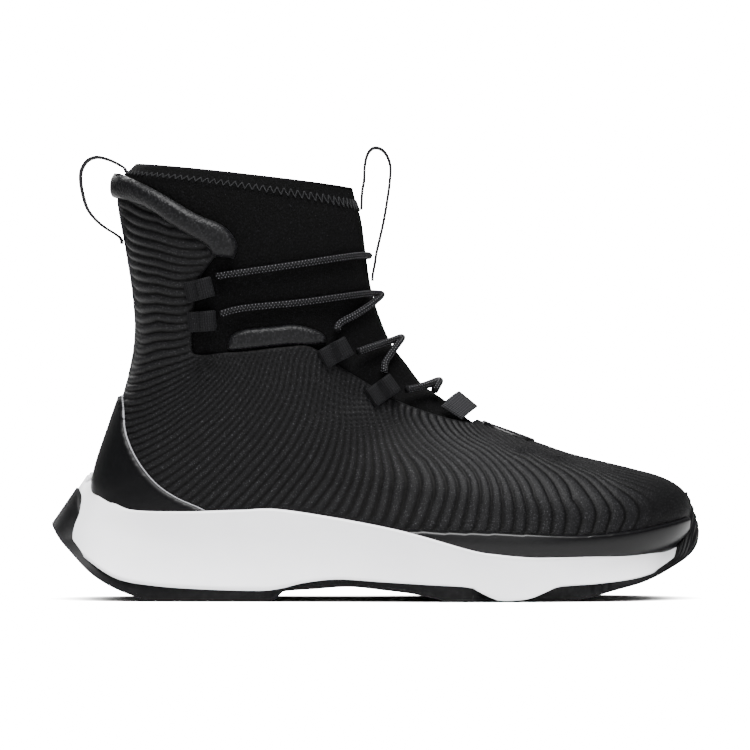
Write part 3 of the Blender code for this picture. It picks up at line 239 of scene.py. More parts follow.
def side(points: Sequence[tuple[float, float]]) -> np.ndarray:
    """Side-view points (x, z) in metres from (along, level) pairs."""
    return np.array([(along * LENGTH, height(level)) for along, level in points])


def catmull(points: np.ndarray, t: np.ndarray) -> np.ndarray:
    """Points of the smooth curve through rows of numbers.

    Args:
        points: rows to pass through.
        t: row numbers, with fractions.

    Returns:
        One interpolated row for each t.
    """
    points = np.asarray(points, dtype=float)
    last = len(points) - 1
    t = np.clip(np.asarray(t, dtype=float), 0.0, last)
    k = np.minimum(t.astype(int), last - 1)
    u = (t - k)[..., None]
    before = np.where((k > 0)[..., None], points[np.maximum(k - 1, 0)], 2 * points[0] - points[1])
    after = np.where((k + 2 <= last)[..., None], points[np.minimum(k + 2, last)],
                     2 * points[last] - points[last - 1])
    here, there = points[k], points[k + 1]
    return 0.5 * (2 * here + (there - before) * u + (2 * before - 5 * here + 4 * there - after) * u ** 2
                  + (3 * here - before - 3 * there + after) * u ** 3)


def smooth(points: np.ndarray, per_span: int = 6) -> np.ndarray:
    """Denser points on the smooth curve through the points, ends included."""
    count = (len(points) - 1) * per_span + 1
    return catmull(points, np.linspace(0, len(points) - 1, count))


def read_curve(table: Sequence[tuple[float, float]], x: np.ndarray) -> np.ndarray:
    """Smooth value of a side-view table.

    Args:
        table: (along, level) pairs.
        x: places along the shoe in metres.

    Returns:
        Heights in metres.
    """
    spots = side(table)
    dense = smooth(spots, 8)
    order = np.argsort(dense[:, 0])
    return np.interp(x, dense[order, 0], dense[order, 1])


def ease(low: float, high: float, value: np.ndarray) -> np.ndarray:
    """Smooth step from 0 at low to 1 at high."""
    u = np.clip((value - low) / (high - low), 0.0, 1.0)
    return u * u * (3 - 2 * u)


class LastForm:
    """Closed form of the upper, by row number and turn round the section.

    SEARCH: rows and turns of the lattice that a search starts from.
    ROUNDS: steps of a search.
    REACH: longest step in rows and in turns.
    NUDGE: row and turn over which slopes are taken, for normals.
    """

    SEARCH = (160, 64)
    ROUNDS = 9
    REACH = (0.3, 0.1)
    NUDGE = 0.02
    BACK_ROWS = (7, 11)
    TOE_ROW = 19

    def __init__(self) -> None:
        """Reads the table into metres and lays a lattice for searches."""
        rows = []
        for row in FORM_ROWS:
            cell = dict(zip(FORM_COLUMNS, row))
            half = cell["shaft"] * SHAFT_WIDTH + cell["ball"] * BALL_WIDTH
            rows.append((cell["back"] * LENGTH, height(cell["back_level"]), cell["front"] * LENGTH,
                         height(cell["front_level"]), half, cell["taper"], cell["front_round"],
                         cell["back_round"], cell["swing_front"] * BALL_WIDTH + SIDE_SHIFT,
                         cell["swing_back"] * BALL_WIDTH + SIDE_SHIFT))
        self.rows = np.array(rows)
        self.last = len(rows) - 1
        self.lattice_t, self.lattice_turn = np.meshgrid(
            np.linspace(0.0, self.last - 0.02, self.SEARCH[0]),
            np.linspace(0.03, math.pi - 0.03, self.SEARCH[1]), indexing="ij")

    def base(self, t: np.ndarray, turn: np.ndarray) -> np.ndarray:
        """Points on the form. Turn 0 is front or top, pi back or base, and positive is the inner side."""
        values = catmull(self.rows, t)
        bx, bz, fx, fz, half, taper, front_round, back_round = np.moveaxis(values[..., :8], -1, 0)
        swing_front, swing_back = np.moveaxis(values[..., 8:], -1, 0)
        cosine, sine = np.cos(turn), np.sin(turn)
        power = np.where(cosine >= 0, front_round, back_round)
        reach = (np.abs(cosine) ** power + np.abs(sine) ** power) ** (-1.0 / power)
        ahead, aside = cosine * reach, sine * reach
        x = (bx + fx) / 2 + (fx - bx) / 2 * ahead
        z = (bz + fz) / 2 + (fz - bz) / 2 * ahead
        swing = swing_front * (1 + ahead) / 2 + swing_back * (1 - ahead) / 2
        y = swing + np.maximum(half, 0.0) * aside * (1 - taper * ahead)
        return np.stack([x, y, z], axis=-1)

    def normal(self, t: np.ndarray, turn: np.ndarray) -> np.ndarray:
        """Outward unit normals of the form.

        Args:
            t: row numbers.
            turn: turns round the section.

        Returns:
            Unit vectors, drawn towards +X near the toe's pole.
        """
        t, turn = np.broadcast_arrays(np.asarray(t, dtype=float), np.asarray(turn, dtype=float))
        step = self.NUDGE
        safe = np.minimum(t, self.last - 0.03)
        along = self.base(np.minimum(safe + step, self.last), turn) - self.base(safe - step, turn)
        around = self.base(safe, turn + step) - self.base(safe, turn - step)
        normal = np.cross(along, around)
        normal /= np.maximum(np.linalg.norm(normal, axis=-1, keepdims=True), 1e-12)
        pole = np.clip((t - (self.last - 0.35)) / 0.35, 0.0, 1.0)[..., None] ** 2
        normal = normal * (1 - pole) + np.array([1.0, 0.0, 0.0]) * pole
        return normal / np.linalg.norm(normal, axis=-1, keepdims=True)

    def point(self, t: np.ndarray, turn: np.ndarray, offset: np.ndarray | float = 0.0) -> np.ndarray:
        """Points at an offset along the outward normal."""
        return self.base(t, turn) + np.asarray(offset)[..., None] * self.normal(t, turn)

    def find(self, spots: np.ndarray, sign: int, start: tuple[np.ndarray, np.ndarray] | None = None
             ) -> tuple[np.ndarray, np.ndarray]:
        """Row numbers and turns of the surface points seen at side-view places.

        Args:
            spots: (x, z) rows.
            sign: 1 for the inner side, -1 for the outer.
            start: first guess of rows and turns, searched for when left out.

        Returns:
            Row numbers and turns.
        """
        spots = np.atleast_2d(spots)
        if start is None:
            lattice = self.base(self.lattice_t, self.lattice_turn)[..., [0, 2]].reshape(-1, 2)
            near = np.array([int(np.argmin(((lattice - spot) ** 2).sum(-1))) for spot in spots])
            t, turn = self.lattice_t.ravel()[near].copy(), sign * self.lattice_turn.ravel()[near]
        else:
            t, turn = start[0].copy(), start[1].copy()
        for _ in range(self.ROUNDS):
            here = self.base(t, turn)[..., [0, 2]]
            miss = spots - here
            h = 0.002
            dt = (self.base(np.minimum(t + h, self.last), turn)[..., [0, 2]] - here) / h
            da = (self.base(t, turn + h)[..., [0, 2]] - here) / h
            jac = np.stack([dt, da], axis=-1)
            square = jac @ np.swapaxes(jac, -1, -2) + 1e-8 * np.eye(2)
            move = np.einsum("...ji,...j->...i", jac, np.linalg.solve(square, miss[..., None])[..., 0])
            t = np.clip(t + np.clip(move[..., 0], -self.REACH[0], self.REACH[0]), 0.0, self.last)
            turn = turn + np.clip(move[..., 1], -self.REACH[1], self.REACH[1])
            turn = np.clip(turn, 0.0, math.pi) if sign > 0 else np.clip(turn, -math.pi, 0.0)
        return t, turn

    def rows_by_length(self, low: float, high: float, cell: float, turns: Sequence[float]) -> np.ndarray:
        """Row numbers no further apart on the form than a cell.

        Args:
            low: first row number.
            high: last row number.
            cell: longest step in metres.
            turns: turns at which the step is measured.

        Returns:
            Row numbers.
        """
        ts = np.linspace(low, high, 1600)
        steps = np.max([np.linalg.norm(np.diff(self.base(ts, np.full(len(ts), a)), axis=0), axis=-1)
                        for a in turns], axis=0)
        length = np.concatenate([[0.0], np.cumsum(steps)])
        count = max(int(math.ceil(length[-1] / cell)), 2)
        return np.interp(np.linspace(0, length[-1], count + 1), length, ts)


FORM = LastForm()


class RibField:
    """Smooth rib number all over the form, from the places in RIBS."""

    def __init__(self) -> None:
        """Solves for the field that passes through every place."""
        spots, numbers = [], []
        for number, places in RIBS:
            for spot in side(places):
                spots.append(spot)
                numbers.append(float(number))
        t, turn = FORM.find(np.array(spots), -1)
        self.centres = self.fold(FORM.base(t, turn))
        gaps = np.linalg.norm(self.centres[:, None] - self.centres[None], axis=-1)
        count = len(numbers)
        flat = np.hstack([np.ones((count, 1)), self.centres])
        matrix = np.block([[gaps + 1e-5 * np.eye(count), flat], [flat.T, np.zeros((4, 4))]])
        self.weights = np.linalg.solve(matrix, np.concatenate([numbers, np.zeros(4)]))

    @staticmethod
    def fold(points: np.ndarray) -> np.ndarray:
        """Points with both sides of the boot laid on each other."""
        folded = points.copy()
        folded[..., 1] = np.abs(folded[..., 1] - SIDE_SHIFT)
        return folded

    def read(self, points: np.ndarray) -> np.ndarray:
        """Rib numbers at points of the form.

        Args:
            points: rows of x, y and z.

        Returns:
            One number for each, whole on a rib's edge.
        """
        folded = self.fold(points)
        out = []
        for chunk in np.array_split(folded, max(len(folded) // 8000, 1)):
            gaps = np.linalg.norm(chunk[:, None] - self.centres[None], axis=-1)
            flat = np.hstack([np.ones((len(chunk), 1)), chunk])
            out.append(gaps @ self.weights[:-4] + flat @ self.weights[-4:])
        return np.concatenate(out)


def inside(outline: np.ndarray, x: np.ndarray, z: np.ndarray) -> np.ndarray:
    """Whether side-view points lie inside a closed outline.

    Args:
        outline: its corners as (x, z).
        x: places along the shoe.
        z: heights.

    Returns:
        True for each point inside.
    """
    result = np.zeros(x.shape, dtype=bool)
    for (x0, z0), (x1, z1) in zip(outline, np.roll(outline, -1, axis=0)):
        if z0 == z1:
            continue
        crosses = (z0 > z) != (z1 > z)
        result ^= crosses & (x < (x1 - x0) * (z - z0) / (z1 - z0) + x0)
    return result


def nearest_on(outline: np.ndarray, spots: np.ndarray) -> np.ndarray:
    """Nearest points of a closed outline.

    Args:
        outline: its corners as (x, z).
        spots: side-view points to start from.

    Returns:
        The nearest point of the outline for each spot.
    """
    starts = outline
    ends = np.roll(outline, -1, axis=0)
    along = ends - starts
    size = np.maximum((along ** 2).sum(-1), 1e-16)
    share = np.clip(((spots[:, None] - starts[None]) * along[None]).sum(-1) / size, 0.0, 1.0)
    feet = starts[None] + share[..., None] * along[None]
    best = np.argmin(((spots[:, None] - feet) ** 2).sum(-1), axis=1)
    return feet[np.arange(len(spots)), best]


def deselect() -> None:
    """Deselect every object."""
    for item in bpy.context.selected_objects:
        item.select_set(False)


def make_object(name: str, vertices: np.ndarray, faces: Sequence[Sequence[int]],
                attributes: dict[str, np.ndarray] | None = None, weld: float = 0.00001) -> bpy.types.Object:
    """Smooth-shaded mesh object with float attributes on its points.

    Args:
        name: object name.
        vertices: places in metres.
        faces: vertex numbers of each face.
        attributes: values to keep for the material, by name.
        weld: distance under which points are merged.

    Returns:
        The linked object, with its faces turned outwards.
    """
    mesh = bpy.data.meshes.new(name)
    mesh.from_pydata(np.asarray(vertices, dtype=float).tolist(), [], [tuple(f) for f in faces])
    for label, values in (attributes or {}).items():
        layer = mesh.attributes.new(label, 'FLOAT', 'POINT')
        layer.data.foreach_set("value", np.asarray(values, dtype=np.float32))
    work = bmesh.new()
    work.from_mesh(mesh)
    bmesh.ops.remove_doubles(work, verts=work.verts, dist=weld)
    bmesh.ops.recalc_face_normals(work, faces=work.faces)
    work.to_mesh(mesh)
    work.free()
    mesh.polygons.foreach_set("use_smooth", np.ones(len(mesh.polygons), dtype=bool))
    item = bpy.data.objects.new(name, mesh)
    bpy.context.scene.collection.objects.link(item)
    return item


def grid_cells(columns: int, rows: int) -> tuple[np.ndarray, np.ndarray]:
    """Vertex shares and faces of a flat grid, from Blender's own grid primitive.

    Args:
        columns: cells across.
        rows: cells along.

    Returns:
        Shares (u, v) from 0 to 1 for each vertex, and the faces' vertex numbers.
    """
    deselect()
    bpy.ops.mesh.primitive_grid_add(x_subdivisions=columns, y_subdivisions=rows, size=2.0)
    item = bpy.context.active_object
    mesh = item.data
    spots = np.empty(len(mesh.vertices) * 3)
    mesh.vertices.foreach_get("co", spots)
    faces = np.empty(len(mesh.polygons) * 4, dtype=int)
    mesh.polygons.foreach_get("vertices", faces)
    bpy.data.objects.remove(item)
    return (spots.reshape(-1, 3)[:, :2] + 1) / 2, faces.reshape(-1, 4)


@dataclass
class Patch:
    """Points of a panel on the form, as its lift function sees them."""

    t: np.ndarray
    turn: np.ndarray
    base: np.ndarray
    edge: np.ndarray


@dataclass
class Panel:
    """Panel cut from the form along a side-view outline, with its own thickness."""

    name: str
    outline: np.ndarray
    rows: tuple[float, float]
    turns: tuple[float, float]
    cell: tuple[float, float]
    lift: Callable[[Patch], np.ndarray]
    low: float
    closed: bool = True
    extra: Callable[[Patch], dict[str, np.ndarray]] | None = None

    def build(self) -> bpy.types.Object:
        """Lay a grid on the form, keep what is inside the outline, pull its border to it and give it a wall.

        Returns:
            The panel's object.
        """
        low_turn, high_turn = self.turns
        cyclic = high_turn - low_turn > 2 * math.pi - 0.01
        watch = [a for a in (0.6, 1.6, 2.3) if low_turn <= a <= high_turn or low_turn <= -a <= high_turn]
        ts = FORM.rows_by_length(self.rows[0], self.rows[1], self.cell[0], watch or [low_turn, high_turn])
        mids = FORM.base(np.full(61, (self.rows[0] + self.rows[1]) / 2), np.linspace(low_turn, high_turn, 61))
        around = np.linalg.norm(np.diff(mids, axis=0), axis=-1).sum()
        columns = max(int(around / self.cell[1]), 6)
        shares, faces = grid_cells(columns, len(ts) - 1)
        t = np.interp(shares[:, 1] * (len(ts) - 1), np.arange(len(ts)), ts)
        turn = low_turn + shares[:, 0] * (high_turn - low_turn)
        if cyclic:
            index = np.arange(len(t)).reshape(len(ts), columns + 1)
            link = index.copy()
            link[:, -1] = index[:, 0]
            faces = link.ravel()[faces]
        base = FORM.base(t, turn)
        centres = base[faces].mean(axis=1)
        faces = faces[inside(self.outline, centres[:, 0], centres[:, 2])]
        used, faces = np.unique(faces, return_inverse=True)
        faces = faces.reshape(-1, 4)
        t, turn = t[used], turn[used]
        pairs = np.stack([faces, np.roll(faces, -1, axis=1)], axis=-1).reshape(-1, 2)
        key = np.sort(pairs, axis=1)
        _, first, counts = np.unique(key, axis=0, return_index=True, return_counts=True)
        border = pairs[first[counts == 1]]
        rim = np.unique(border)
        open_ends = (t[rim] > self.rows[0] + 1e-4) & (t[rim] < self.rows[1] - 1e-4)
        for sign in (-1, 1):
            mine = rim[open_ends & (np.sign(turn[rim]) == sign)]
            if len(mine) == 0:
                continue
            goal = nearest_on(self.outline, FORM.base(t[mine], turn[mine])[:, [0, 2]])
            new_t, new_turn = FORM.find(goal, sign, (t[mine], turn[mine]))
            moved = np.linalg.norm(FORM.base(new_t, new_turn) - FORM.base(t[mine], turn[mine]), axis=-1)
            good = moved < 2.2 * max(self.cell)
            t[mine[good]], turn[mine[good]] = new_t[good], new_turn[good]
        base = FORM.base(t, turn)
        tree = KDTree(len(rim))
        for place, vertex in enumerate(rim):
            tree.insert(base[vertex], place)
        tree.balance()
        edge = np.array([tree.find(spot)[2] for spot in base])
        patch = Patch(t, turn, base, edge)
        normal = FORM.normal(t, turn)
        top = base + self.lift(patch)[:, None] * normal
        under = base + self.low * normal
        count = len(t)
        mesh_faces = [tuple(f) for f in faces]
        if self.closed:
            vertices = np.concatenate([top, under])
            mesh_faces += [tuple(int(v) + count for v in f[::-1]) for f in faces]
            strips = [(int(b), int(a), int(a) + count, int(b) + count) for a, b in border]
        else:
            place = {int(v): k for k, v in enumerate(rim)}
            vertices = np.concatenate([top, under[rim]])
            strips = [(int(b), int(a), count + place[int(a)], count + place[int(b)]) for a, b in border]
        values = {"edge": edge}
        if self.extra is not None:
            values.update(self.extra(patch))
        tail = len(vertices) - count
        attributes = {label: np.concatenate([v, v if tail == count else v[rim]]) for label, v in values.items()}
        LOG.info("%s: %d faces", self.name, len(mesh_faces) + len(strips))
        return make_object(self.name, vertices, mesh_faces + strips, attributes)


def frames(points: np.ndarray, closed: bool = False) -> tuple[np.ndarray, np.ndarray]:
    """Two unit directions across a path, carried along it without twist.

    Args:
        points: path in metres.
        closed: whether it is a loop.

    Returns:
        Both directions for each point.
    """
    tangents = np.gradient(points, axis=0)
    if closed:
        tangents = np.roll(points, -1, axis=0) - np.roll(points, 1, axis=0)
    tangents /= np.linalg.norm(tangents, axis=1, keepdims=True)
    first = np.cross(tangents[0], [0.0, 0.0, 1.0])
    if np.linalg.norm(first) < 0.1:
        first = np.cross(tangents[0], [0.0, 1.0, 0.0])
    sides = []
    current = first / np.linalg.norm(first)
    for tangent in tangents:
        current = current - tangent * current.dot(tangent)
        current = current / np.linalg.norm(current)
        sides.append(current)
    sides = np.array(sides)
    return sides, np.cross(tangents, sides)


def tube(points: np.ndarray, radius: float, around: int = 10, closed: bool = False
         ) -> tuple[np.ndarray, list[tuple[int, ...]], dict[str, np.ndarray]]:
    """Round cord along a path.

    Args:
        points: path in metres.
        radius: radius of the cord.
        around: facets round it.
        closed: whether the path is a loop.

    Returns:
        Vertices, faces, and attributes run (metres along) and spin (0 to 1 round).
    """
    one, two = frames(points, closed)
    angles = np.arange(around) * 2 * math.pi / around
    ring = radius * (np.cos(angles)[None, :, None] * one[:, None] + np.sin(angles)[None, :, None] * two[:, None])
    vertices = (points[:, None] + ring).reshape(-1, 3)
    count = len(points)
    spans = count if closed else count - 1
    faces = [(k * around + a, k * around + (a + 1) % around,
              (k + 1) % count * around + (a + 1) % around, (k + 1) % count * around + a)
             for k in range(spans) for a in range(around)]
    if not closed:
        faces += [tuple(range(around))[::-1], tuple(range((count - 1) * around, count * around))]
    steps = np.linalg.norm(np.diff(points, axis=0), axis=1)
    run = np.repeat(np.concatenate([[0.0], np.cumsum(steps)]), around)
    return vertices, faces, {"run": run, "spin": np.tile(angles / (2 * math.pi), count)}


def ribbon(points: np.ndarray, across: np.ndarray, width: float, thickness: float
           ) -> tuple[np.ndarray, list[tuple[int, ...]], dict[str, np.ndarray]]:
    """Flat webbing along a path, with rounded edges.

    Args:
        points: middle line in metres.
        across: unit direction of the width at each point.
        width: width of the webbing.
        thickness: its thickness.

    Returns:
        Vertices, faces, and attributes run and weft in metres.
    """
    tangents = np.gradient(points, axis=0)
    tangents /= np.linalg.norm(tangents, axis=1, keepdims=True)
    face = np.cross(tangents, across)
    face /= np.linalg.norm(face, axis=1, keepdims=True)
    flat = width / 2 - thickness / 2
    section = [(s, thickness / 2) for s in np.linspace(-flat, flat, 8)]
    section += [(flat + thickness / 2 * math.sin(a), thickness / 2 * math.cos(a)) for a in (0.8, 1.57, 2.34)]
    section += [(s, -thickness / 2) for s in np.linspace(flat, -flat, 8)]
    section += [(-flat - thickness / 2 * math.sin(a), -thickness / 2 * math.cos(a)) for a in (0.8, 1.57, 2.34)]
    shape = np.array(section)
    vertices = (points[:, None] + shape[None, :, 0, None] * across[:, None]
                + shape[None, :, 1, None] * face[:, None]).reshape(-1, 3)
    size, count = len(shape), len(points)
    faces = [(k * size + a, k * size + (a + 1) % size, (k + 1) * size + (a + 1) % size, (k + 1) * size + a)
             for k in range(count - 1) for a in range(size)]
    faces += [tuple(range(size))[::-1], tuple(range((count - 1) * size, count * size))]
    steps = np.linalg.norm(np.diff(points, axis=0), axis=1)
    run = np.repeat(np.concatenate([[0.0], np.cumsum(steps)]), size)
    return vertices, faces, {"run": run, "weft": np.tile(shape[:, 0], count)}


def join_parts(name: str, parts: Sequence[tuple[np.ndarray, list[tuple[int, ...]], dict[str, np.ndarray]]]
               ) -> bpy.types.Object:
    """One object of several tubes or ribbons."""
    vertices, faces, shift = [], [], 0
    values: dict[str, list[np.ndarray]] = {key: [] for key in parts[0][2]}
    for spots, sheet, extra in parts:
        vertices.append(spots)
        faces += [tuple(v + shift for v in f) for f in sheet]
        for key in values:
            values[key].append(extra[key])
        shift += len(spots)
    return make_object(name, np.concatenate(vertices), faces,
                       {key: np.concatenate(rows) for key, rows in values.items()}, weld=0.000001)


# ---------------------------------------------------------------- finishes


def colour(code: str) -> tuple[float, float, float, float]:
    """Linear colour of an sRGB hex code."""
    parts = [int(code[k:k + 2], 16) / 255 for k in (1, 3, 5)]
    linear = [c / 12.92 if c <= 0.04045 else ((c + 0.055) / 1.055) ** 2.4 for c in parts]
    return (*linear, 1.0)


class Nodes:
    """Builder for one material's nodes."""

    def __init__(self, name: str, roughness: float, specular: float = 0.5, coat: float = 0.0,
                 sheen: float = 0.0) -> None:
        """Starts a material with the shader's constants set."""
        self.material = bpy.data.materials.new(name)
        self.material.use_nodes = True
        self.tree = self.material.node_tree
        self.shader = self.tree.nodes["Principled BSDF"]
        self.shader.inputs["Roughness"].default_value = roughness
        self.shader.inputs["Specular IOR Level"].default_value = specular
        self.shader.inputs["Coat Weight"].default_value = coat
        self.shader.inputs["Coat Roughness"].default_value = 0.25
        self.shader.inputs["Sheen Weight"].default_value = sheen
        self.shader.inputs["Sheen Roughness"].default_value = 0.4

    def add(self, kind: str, links: dict | None = None, **settings: object) -> bpy.types.Node:
        """Add a node with its settings, input values and links.

        Args:
            kind: Blender's node type.
            links: input name or number to a socket or a constant.
            settings: properties of the node.

        Returns:
            The node.
        """
        node = self.tree.nodes.new(kind)
        for key, value in settings.items():
            setattr(node, key, value)
        for key, value in (links or {}).items():
            if isinstance(value, bpy.types.NodeSocket):
                self.tree.links.new(value, node.inputs[key])
            else:
                node.inputs[key].default_value = value
        return node

    def math(self, operation: str, a: object, b: object = 0.0) -> bpy.types.NodeSocket:
        """Result of one sum on two values."""
        return self.add("ShaderNodeMath", {0: a, 1: b}, operation=operation).outputs[0]

    def place(self) -> bpy.types.NodeSocket:
        """Object coordinates in metres."""
        return self.add("ShaderNodeTexCoord").outputs["Object"]

    def value(self, name: str) -> bpy.types.NodeSocket:
        """Float attribute of the mesh."""
        return self.add("ShaderNodeAttribute", attribute_name=name).outputs["Fac"]

    def noise(self, size_mm: float, detail: float = 4.0) -> bpy.types.NodeSocket:
        """Noise with lumps of a size in millimetres."""
        return self.add("ShaderNodeTexNoise", {"Vector": self.place(), "Scale": 1000.0 / size_mm,
                                               "Detail": detail}).outputs["Fac"]

    def cells(self, size_mm: float) -> bpy.types.NodeSocket:
        """Distance to the middle of cells of a size in millimetres."""
        return self.add("ShaderNodeTexVoronoi", {"Vector": self.place(),
                                                 "Scale": 1000.0 / size_mm}).outputs["Distance"]

    def step(self, value: object, low: float, high: float, start: float = 0.0,
             end: float = 1.0) -> bpy.types.NodeSocket:
        """Value mapped from one range to another, clamped."""
        return self.add("ShaderNodeMapRange", {0: value, 1: low, 2: high, 3: start, 4: end}).outputs[0]

    def mix(self, share: object, first: str, second: str) -> bpy.types.NodeSocket:
        """Colour between two hex codes."""
        node = self.add("ShaderNodeMix", data_type='RGBA')
        node.inputs[6].default_value = colour(first)
        node.inputs[7].default_value = colour(second)
        self.tree.links.new(share, node.inputs[0])
        return node.outputs[2]

    def paint(self, socket: bpy.types.NodeSocket, name: str = "Base Color") -> None:
        """Link a socket to the shader."""
        self.tree.links.new(socket, self.shader.inputs[name])

    def bump(self, heights: Sequence[tuple[bpy.types.NodeSocket, float]]) -> None:
        """Relief from heights and their depths in millimetres."""
        normal = None
        for value, depth in heights:
            links = {"Height": value, "Distance": depth / 1000.0, "Strength": 1.0}
            if normal is not None:
                links["Normal"] = normal
            normal = self.add("ShaderNodeBump", links).outputs["Normal"]
        self.tree.links.new(normal, self.shader.inputs["Normal"])


@dataclass(frozen=True)
class KnitNeoprene:
    """Knit-faced neoprene: the finest matt black of the boot, with a speckle of light loops."""

    dark: str = "#030303"
    light: str = "#101012"
    loop_mm: float = 0.9

    def make(self) -> bpy.types.Material:
        """Matt black with small raised loops and a soft nap."""
        n = Nodes("knit_neoprene", 0.88, 0.05)
        loops = n.cells(self.loop_mm)
        speckle = n.step(n.noise(self.loop_mm * 0.6, 2.0), 0.56, 0.72)
        n.paint(n.mix(speckle, self.dark, self.light))
        n.bump(((loops, 0.22), (n.noise(0.35, 3.0), 0.06)))
        return n.material


@dataclass(frozen=True)
class RibbedTextile:
    """Moulded textile: broad ribs with flecked grey crests, and grooves painted near-black as shade."""

    groove: str = "#010101"
    crest: str = "#0d0d0e"
    fleck: str = "#39393b"
    grain_mm: float = 0.55

    def make(self) -> bpy.types.Material:
        """Grooves painted dark as shade, crests slightly lighter and flecked."""
        n = Nodes("ribbed_textile", 0.5, 0.07)
        ridge = n.value("ridge")
        # painted shade: the ridge share darkens the colour from each crest down into its groove
        body = n.add("ShaderNodeMix", data_type='RGBA')
        body.inputs[6].default_value = colour(self.groove)
        body.inputs[7].default_value = colour(self.crest)
        n.tree.links.new(n.step(ridge, 0.25, 0.95), body.inputs[0])
        flecks = n.math('MULTIPLY', n.step(n.noise(self.grain_mm, 2.0), 0.58, 0.70), n.step(ridge, 0.3, 0.9))
        top = n.add("ShaderNodeMix", data_type='RGBA')
        n.tree.links.new(body.outputs[2], top.inputs[6])
        top.inputs[7].default_value = colour(self.fleck)
        n.tree.links.new(n.math('MULTIPLY', flecks, 0.55), top.inputs[0])
        n.paint(top.outputs[2])
        n.bump(((n.cells(self.grain_mm), 0.10), (n.noise(0.3, 3.0), 0.05)))
        return n.material


@dataclass(frozen=True)
class MattFilm:
    """Thin film over the textile: smooth and matt, with a pale cut edge."""

    base: str = "#050506"
    edge: str = "#8a8a8e"
    edge_mm: float = 0.25

    def make(self) -> bpy.types.Material:
        """Matt black, light grey in the last millimetre at its border."""
        n = Nodes("matt_film", 0.4, 0.10)
        line = n.step(n.value("edge"), self.edge_mm / 1000, self.edge_mm / 1000 + 0.0002, 1.0, 0.0)
        n.paint(n.mix(n.math('MULTIPLY', line, 0.8), self.base, self.edge))
        n.bump(((n.noise(0.5, 4.0), 0.03), (n.noise(8.0, 2.0), 0.15)))
        return n.material


@dataclass(frozen=True)
class SatinBand:
    """Welded band: darker than the film, with a satin gloss that draws a line of light."""

    base: str = "#040405"
    shine: str = "#070708"

    def make(self) -> bpy.types.Material:
        """Black with a thin coat."""
        n = Nodes("satin_band", 0.3, 0.14, coat=0.05)
        n.paint(n.mix(n.noise(12.0, 2.0), self.base, self.shine))
        n.bump(((n.noise(0.4, 3.0), 0.02), (n.noise(15.0, 1.0), 0.2)))
        return n.material


@dataclass(frozen=True)
class GrainedPad:
    """Padded synthetic leather: pebbled grain, its pebble tops painted lighter as the small lights they catch."""

    base: str = "#050506"
    high: str = "#131315"
    pebble_mm: float = 1.1

    def make(self) -> bpy.types.Material:
        """Black pebble grain with painted highlights on the pebble tops."""
        n = Nodes("padded_synthetic", 0.45, 0.12)
        pebbles = n.cells(self.pebble_mm)
        # painted highlight: the colour lightens towards each pebble's middle, where the bump raises it
        n.paint(n.mix(n.step(pebbles, 0.55, 0.1), self.base, self.high))
        n.bump(((n.step(pebbles, 0.6, 0.1), 0.14), (n.noise(0.3, 3.0), 0.03)))
        return n.material


@dataclass(frozen=True)
class WovenWebbing:
    """Woven webbing: ribs across its length, dark grey against the black shell."""

    dark: str = "#0a0a0b"
    light: str = "#2c2c2e"
    pick_mm: float = 0.9

    def make(self) -> bpy.types.Material:
        """Dark grey tape with fine cross ribs."""
        n = Nodes("webbing", 0.72, 0.08)
        pick = 2 * math.pi * 1000 / self.pick_mm
        run = n.math('SINE', n.math('MULTIPLY', n.value("run"), pick))
        weft = n.math('SINE', n.math('MULTIPLY', n.value("weft"), pick * 0.8))
        weave = n.math('ADD', run, n.math('MULTIPLY', weft, 0.5))
        n.paint(n.mix(n.step(weave, -1.2, 1.4), self.dark, self.light))
        n.bump(((n.step(weave, -1.5, 1.5), 0.18), (n.noise(0.3, 2.0), 0.04)))
        return n.material


@dataclass(frozen=True)
class BlackWebbing(WovenWebbing):
    """The same webbing in black, for the eyelets, which hardly show against the shell."""

    dark: str = "#030303"
    light: str = "#111113"


@dataclass(frozen=True)
class BraidedCord:
    """Round braided cord: black, with two dotted rows of light flecks."""

    dark: str = "#040405"
    fleck: str = "#6e6e72"
    braid_mm: float = 1.5
    rows: int = 4

    def make(self) -> bpy.types.Material:
        """Black braid with a light tracer."""
        n = Nodes("lace_cord", 0.7, 0.08)
        run = n.math('MULTIPLY', n.value("run"), 2 * math.pi * 1000 / self.braid_mm)
        spin = n.math('MULTIPLY', n.value("spin"), 2 * math.pi * self.rows)
        one = n.math('SINE', n.math('ADD', run, spin))
        two = n.math('SINE', n.math('SUBTRACT', run, spin))
        braid = n.math('MULTIPLY', one, two)
        tracer = n.math('MULTIPLY', n.step(one, 0.55, 0.9), n.step(two, 0.3, 0.8))
        n.paint(n.mix(n.math('MULTIPLY', tracer, 0.7), self.dark, self.fleck))
        n.bump(((n.step(braid, -1.0, 1.0), 0.22),))
        return n.material


@dataclass(frozen=True)
class MouldedFoam:
    """White midsole foam: cool white with a fine skin and soft shade."""

    base: str = "#ececee"
    shade: str = "#dfdfe3"

    def make(self) -> bpy.types.Material:
        """Cool white, faintly mottled, with a fine grain."""
        n = Nodes("foam", 0.55, 0.35)
        n.shader.inputs["Subsurface Weight"].default_value = 0.05
        n.shader.inputs["Subsurface Radius"].default_value = (0.004, 0.004, 0.004)
        n.paint(n.mix(n.noise(20.0, 3.0), self.base, self.shade))
        n.bump(((n.noise(0.5, 4.0), 0.04), (n.noise(6.0, 2.0), 0.05)))
        return n.material


@dataclass(frozen=True)
class MattRubber:
    """Outsole rubber: black, dull, with a dusty bloom on its high places."""

    base: str = "#050506"
    bloom: str = "#0d0d0e"

    def make(self) -> bpy.types.Material:
        """Matt black with slight bloom."""
        n = Nodes("rubber", 0.5, 0.10)
        n.paint(n.mix(n.step(n.noise(3.0, 5.0), 0.45, 0.8), self.base, self.bloom))
        n.bump(((n.noise(0.4, 4.0), 0.06), (n.noise(5.0, 2.0), 0.06)))
        return n.material


